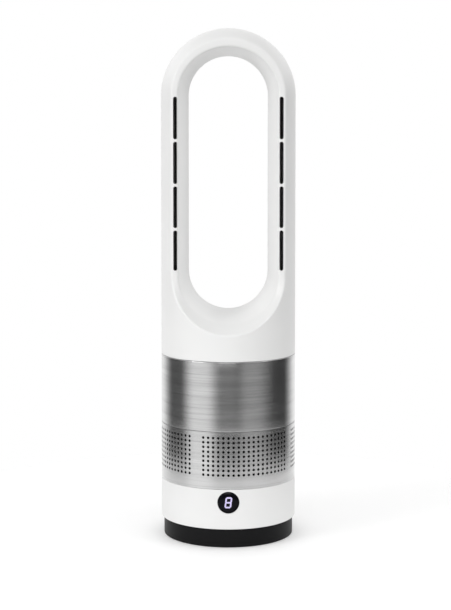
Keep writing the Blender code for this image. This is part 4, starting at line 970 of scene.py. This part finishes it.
def make_camera():
    data = bpy.data.cameras.new("camera")
    data.sensor_fit, data.sensor_width, data.lens = "AUTO", 36.0, 94.6
    data.shift_y = -0.160
    obj = link_object("camera", data)
    obj.matrix_world = Matrix.Translation((-0.00313, -1.790, 0.4736)) @ Matrix.Rotation(
        math.radians(90 - 3.42), 4, "X")
    bpy.context.scene.camera = obj
    return obj


# The operators.


class PieceOperator:
    """What the piece operators share: they build, and set each new piece on the body that it moves with."""

    bl_options = {"REGISTER", "UNDO"}
    body = "tower"

    def build(self):
        raise NotImplementedError

    def execute(self, context):
        for piece in self.build():
            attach(piece, self.body)
        return {"FINISHED"}


class FAN_OT_head(PieceOperator, bpy.types.Operator):
    """Make the white loop head with its eight air slits"""

    bl_idname = "tower_fan.head"
    bl_label = "Loop head"

    def build(self):
        return make_head()


class FAN_OT_ring(PieceOperator, bpy.types.Operator):
    """Make the white ring that holds the display"""

    bl_idname = "tower_fan.ring"
    bl_label = "Display ring"

    def build(self):
        return make_ring()


class FAN_OT_foot(PieceOperator, bpy.types.Operator):
    """Make the black foot"""

    bl_idname = "tower_fan.foot"
    bl_label = "Foot"
    body = "foot"

    def build(self):
        return make_foot()


class FAN_OT_casing(PieceOperator, bpy.types.Operator):
    """Make the plain steel sleeve"""

    bl_idname = "tower_fan.casing"
    bl_label = "Steel sleeve"

    def build(self):
        return make_casing()


class FAN_OT_screen(PieceOperator, bpy.types.Operator):
    """Make the drilled steel inlet"""

    bl_idname = "tower_fan.screen"
    bl_label = "Drilled inlet"

    def build(self):
        return make_screen()


class FAN_OT_shade_sleeve(PieceOperator, bpy.types.Operator):
    """Make the near-black sleeve behind the holes, painted shade that keeps them dark"""

    bl_idname = "tower_fan.filter"
    bl_label = "Painted shade sleeve"

    def build(self):
        return make_shade_sleeve()


class FAN_OT_display(PieceOperator, bpy.types.Operator):
    """Make the lens, its rim and the lit digit"""

    bl_idname = "tower_fan.display"
    bl_label = "Display"
    body = "display_button"

    def build(self):
        return make_display()


class FAN_OT_finishes(bpy.types.Operator):
    """Give the frame's own parts their finishes"""

    bl_idname = "tower_fan.finishes"
    bl_label = "Finishes"
    bl_options = {"REGISTER", "UNDO"}

    def execute(self, context):
        finish_frame_nodes()
        return {"FINISHED"}


class FAN_OT_studio(bpy.types.Operator):
    """Make the floor, the surroundings, the lights and the camera"""

    bl_idname = "tower_fan.studio"
    bl_label = "Studio"
    bl_options = {"REGISTER", "UNDO"}

    def execute(self, context):
        context.scene.view_settings.view_transform = "Standard"
        make_room()
        make_floor()
        make_camera()
        soft_light("front_window", (-1.7, -1.2, 1.0), (0.0, 0.0, 0.45), (0.8, 0.8), 10.5)
        soft_light("camera_window", (-0.1, -1.9, 0.7), (0.0, 0.0, 0.48), (1.0, 0.6), 6.0)
        soft_light("side_window", (1.6, -0.6, 1.1), (0.0, 0.0, 0.45), (0.8, 0.8), 4.0)
        return {"FINISHED"}


class FAN_PT_panel(bpy.types.Panel):
    """The list of pieces in the sidebar"""

    bl_label = "Tower fan"
    bl_idname = "FAN_PT_panel"
    bl_space_type = "VIEW_3D"
    bl_region_type = "UI"
    bl_category = "Tower fan"

    def draw(self, context):
        column = self.layout.column(align=True)
        for operator in OPERATORS:
            column.operator(operator.bl_idname)
        for group in (context.scene.tower_fan_sizes, context.scene.tower_fan_finishes):
            for name in group.__annotations__:
                self.layout.prop(group, name)


OPERATORS = (
    FAN_OT_studio,
    FAN_OT_finishes,
    FAN_OT_head,
    FAN_OT_ring,
    FAN_OT_foot,
    FAN_OT_casing,
    FAN_OT_screen,
    FAN_OT_shade_sleeve,
    FAN_OT_display,
)
CLASSES = (TowerFanSizes, TowerFanFinishes, *OPERATORS, FAN_PT_panel)


def register():
    for cls in CLASSES:
        bpy.utils.register_class(cls)
    bpy.types.Scene.tower_fan_sizes = PointerProperty(type=TowerFanSizes)
    bpy.types.Scene.tower_fan_finishes = PointerProperty(type=TowerFanFinishes)


def unregister():
    del bpy.types.Scene.tower_fan_finishes
    del bpy.types.Scene.tower_fan_sizes
    for cls in reversed(CLASSES):
        bpy.utils.unregister_class(cls)


def main():
    register()
    bpy.ops.tower_fan.studio()
    bpy.ops.tower_fan.finishes()
    bpy.ops.tower_fan.head()
    bpy.ops.tower_fan.ring()
    bpy.ops.tower_fan.foot()
    bpy.ops.tower_fan.casing()
    bpy.ops.tower_fan.screen()
    bpy.ops.tower_fan.filter()
    bpy.ops.tower_fan.display()


if __name__ == "__main__":
    main()
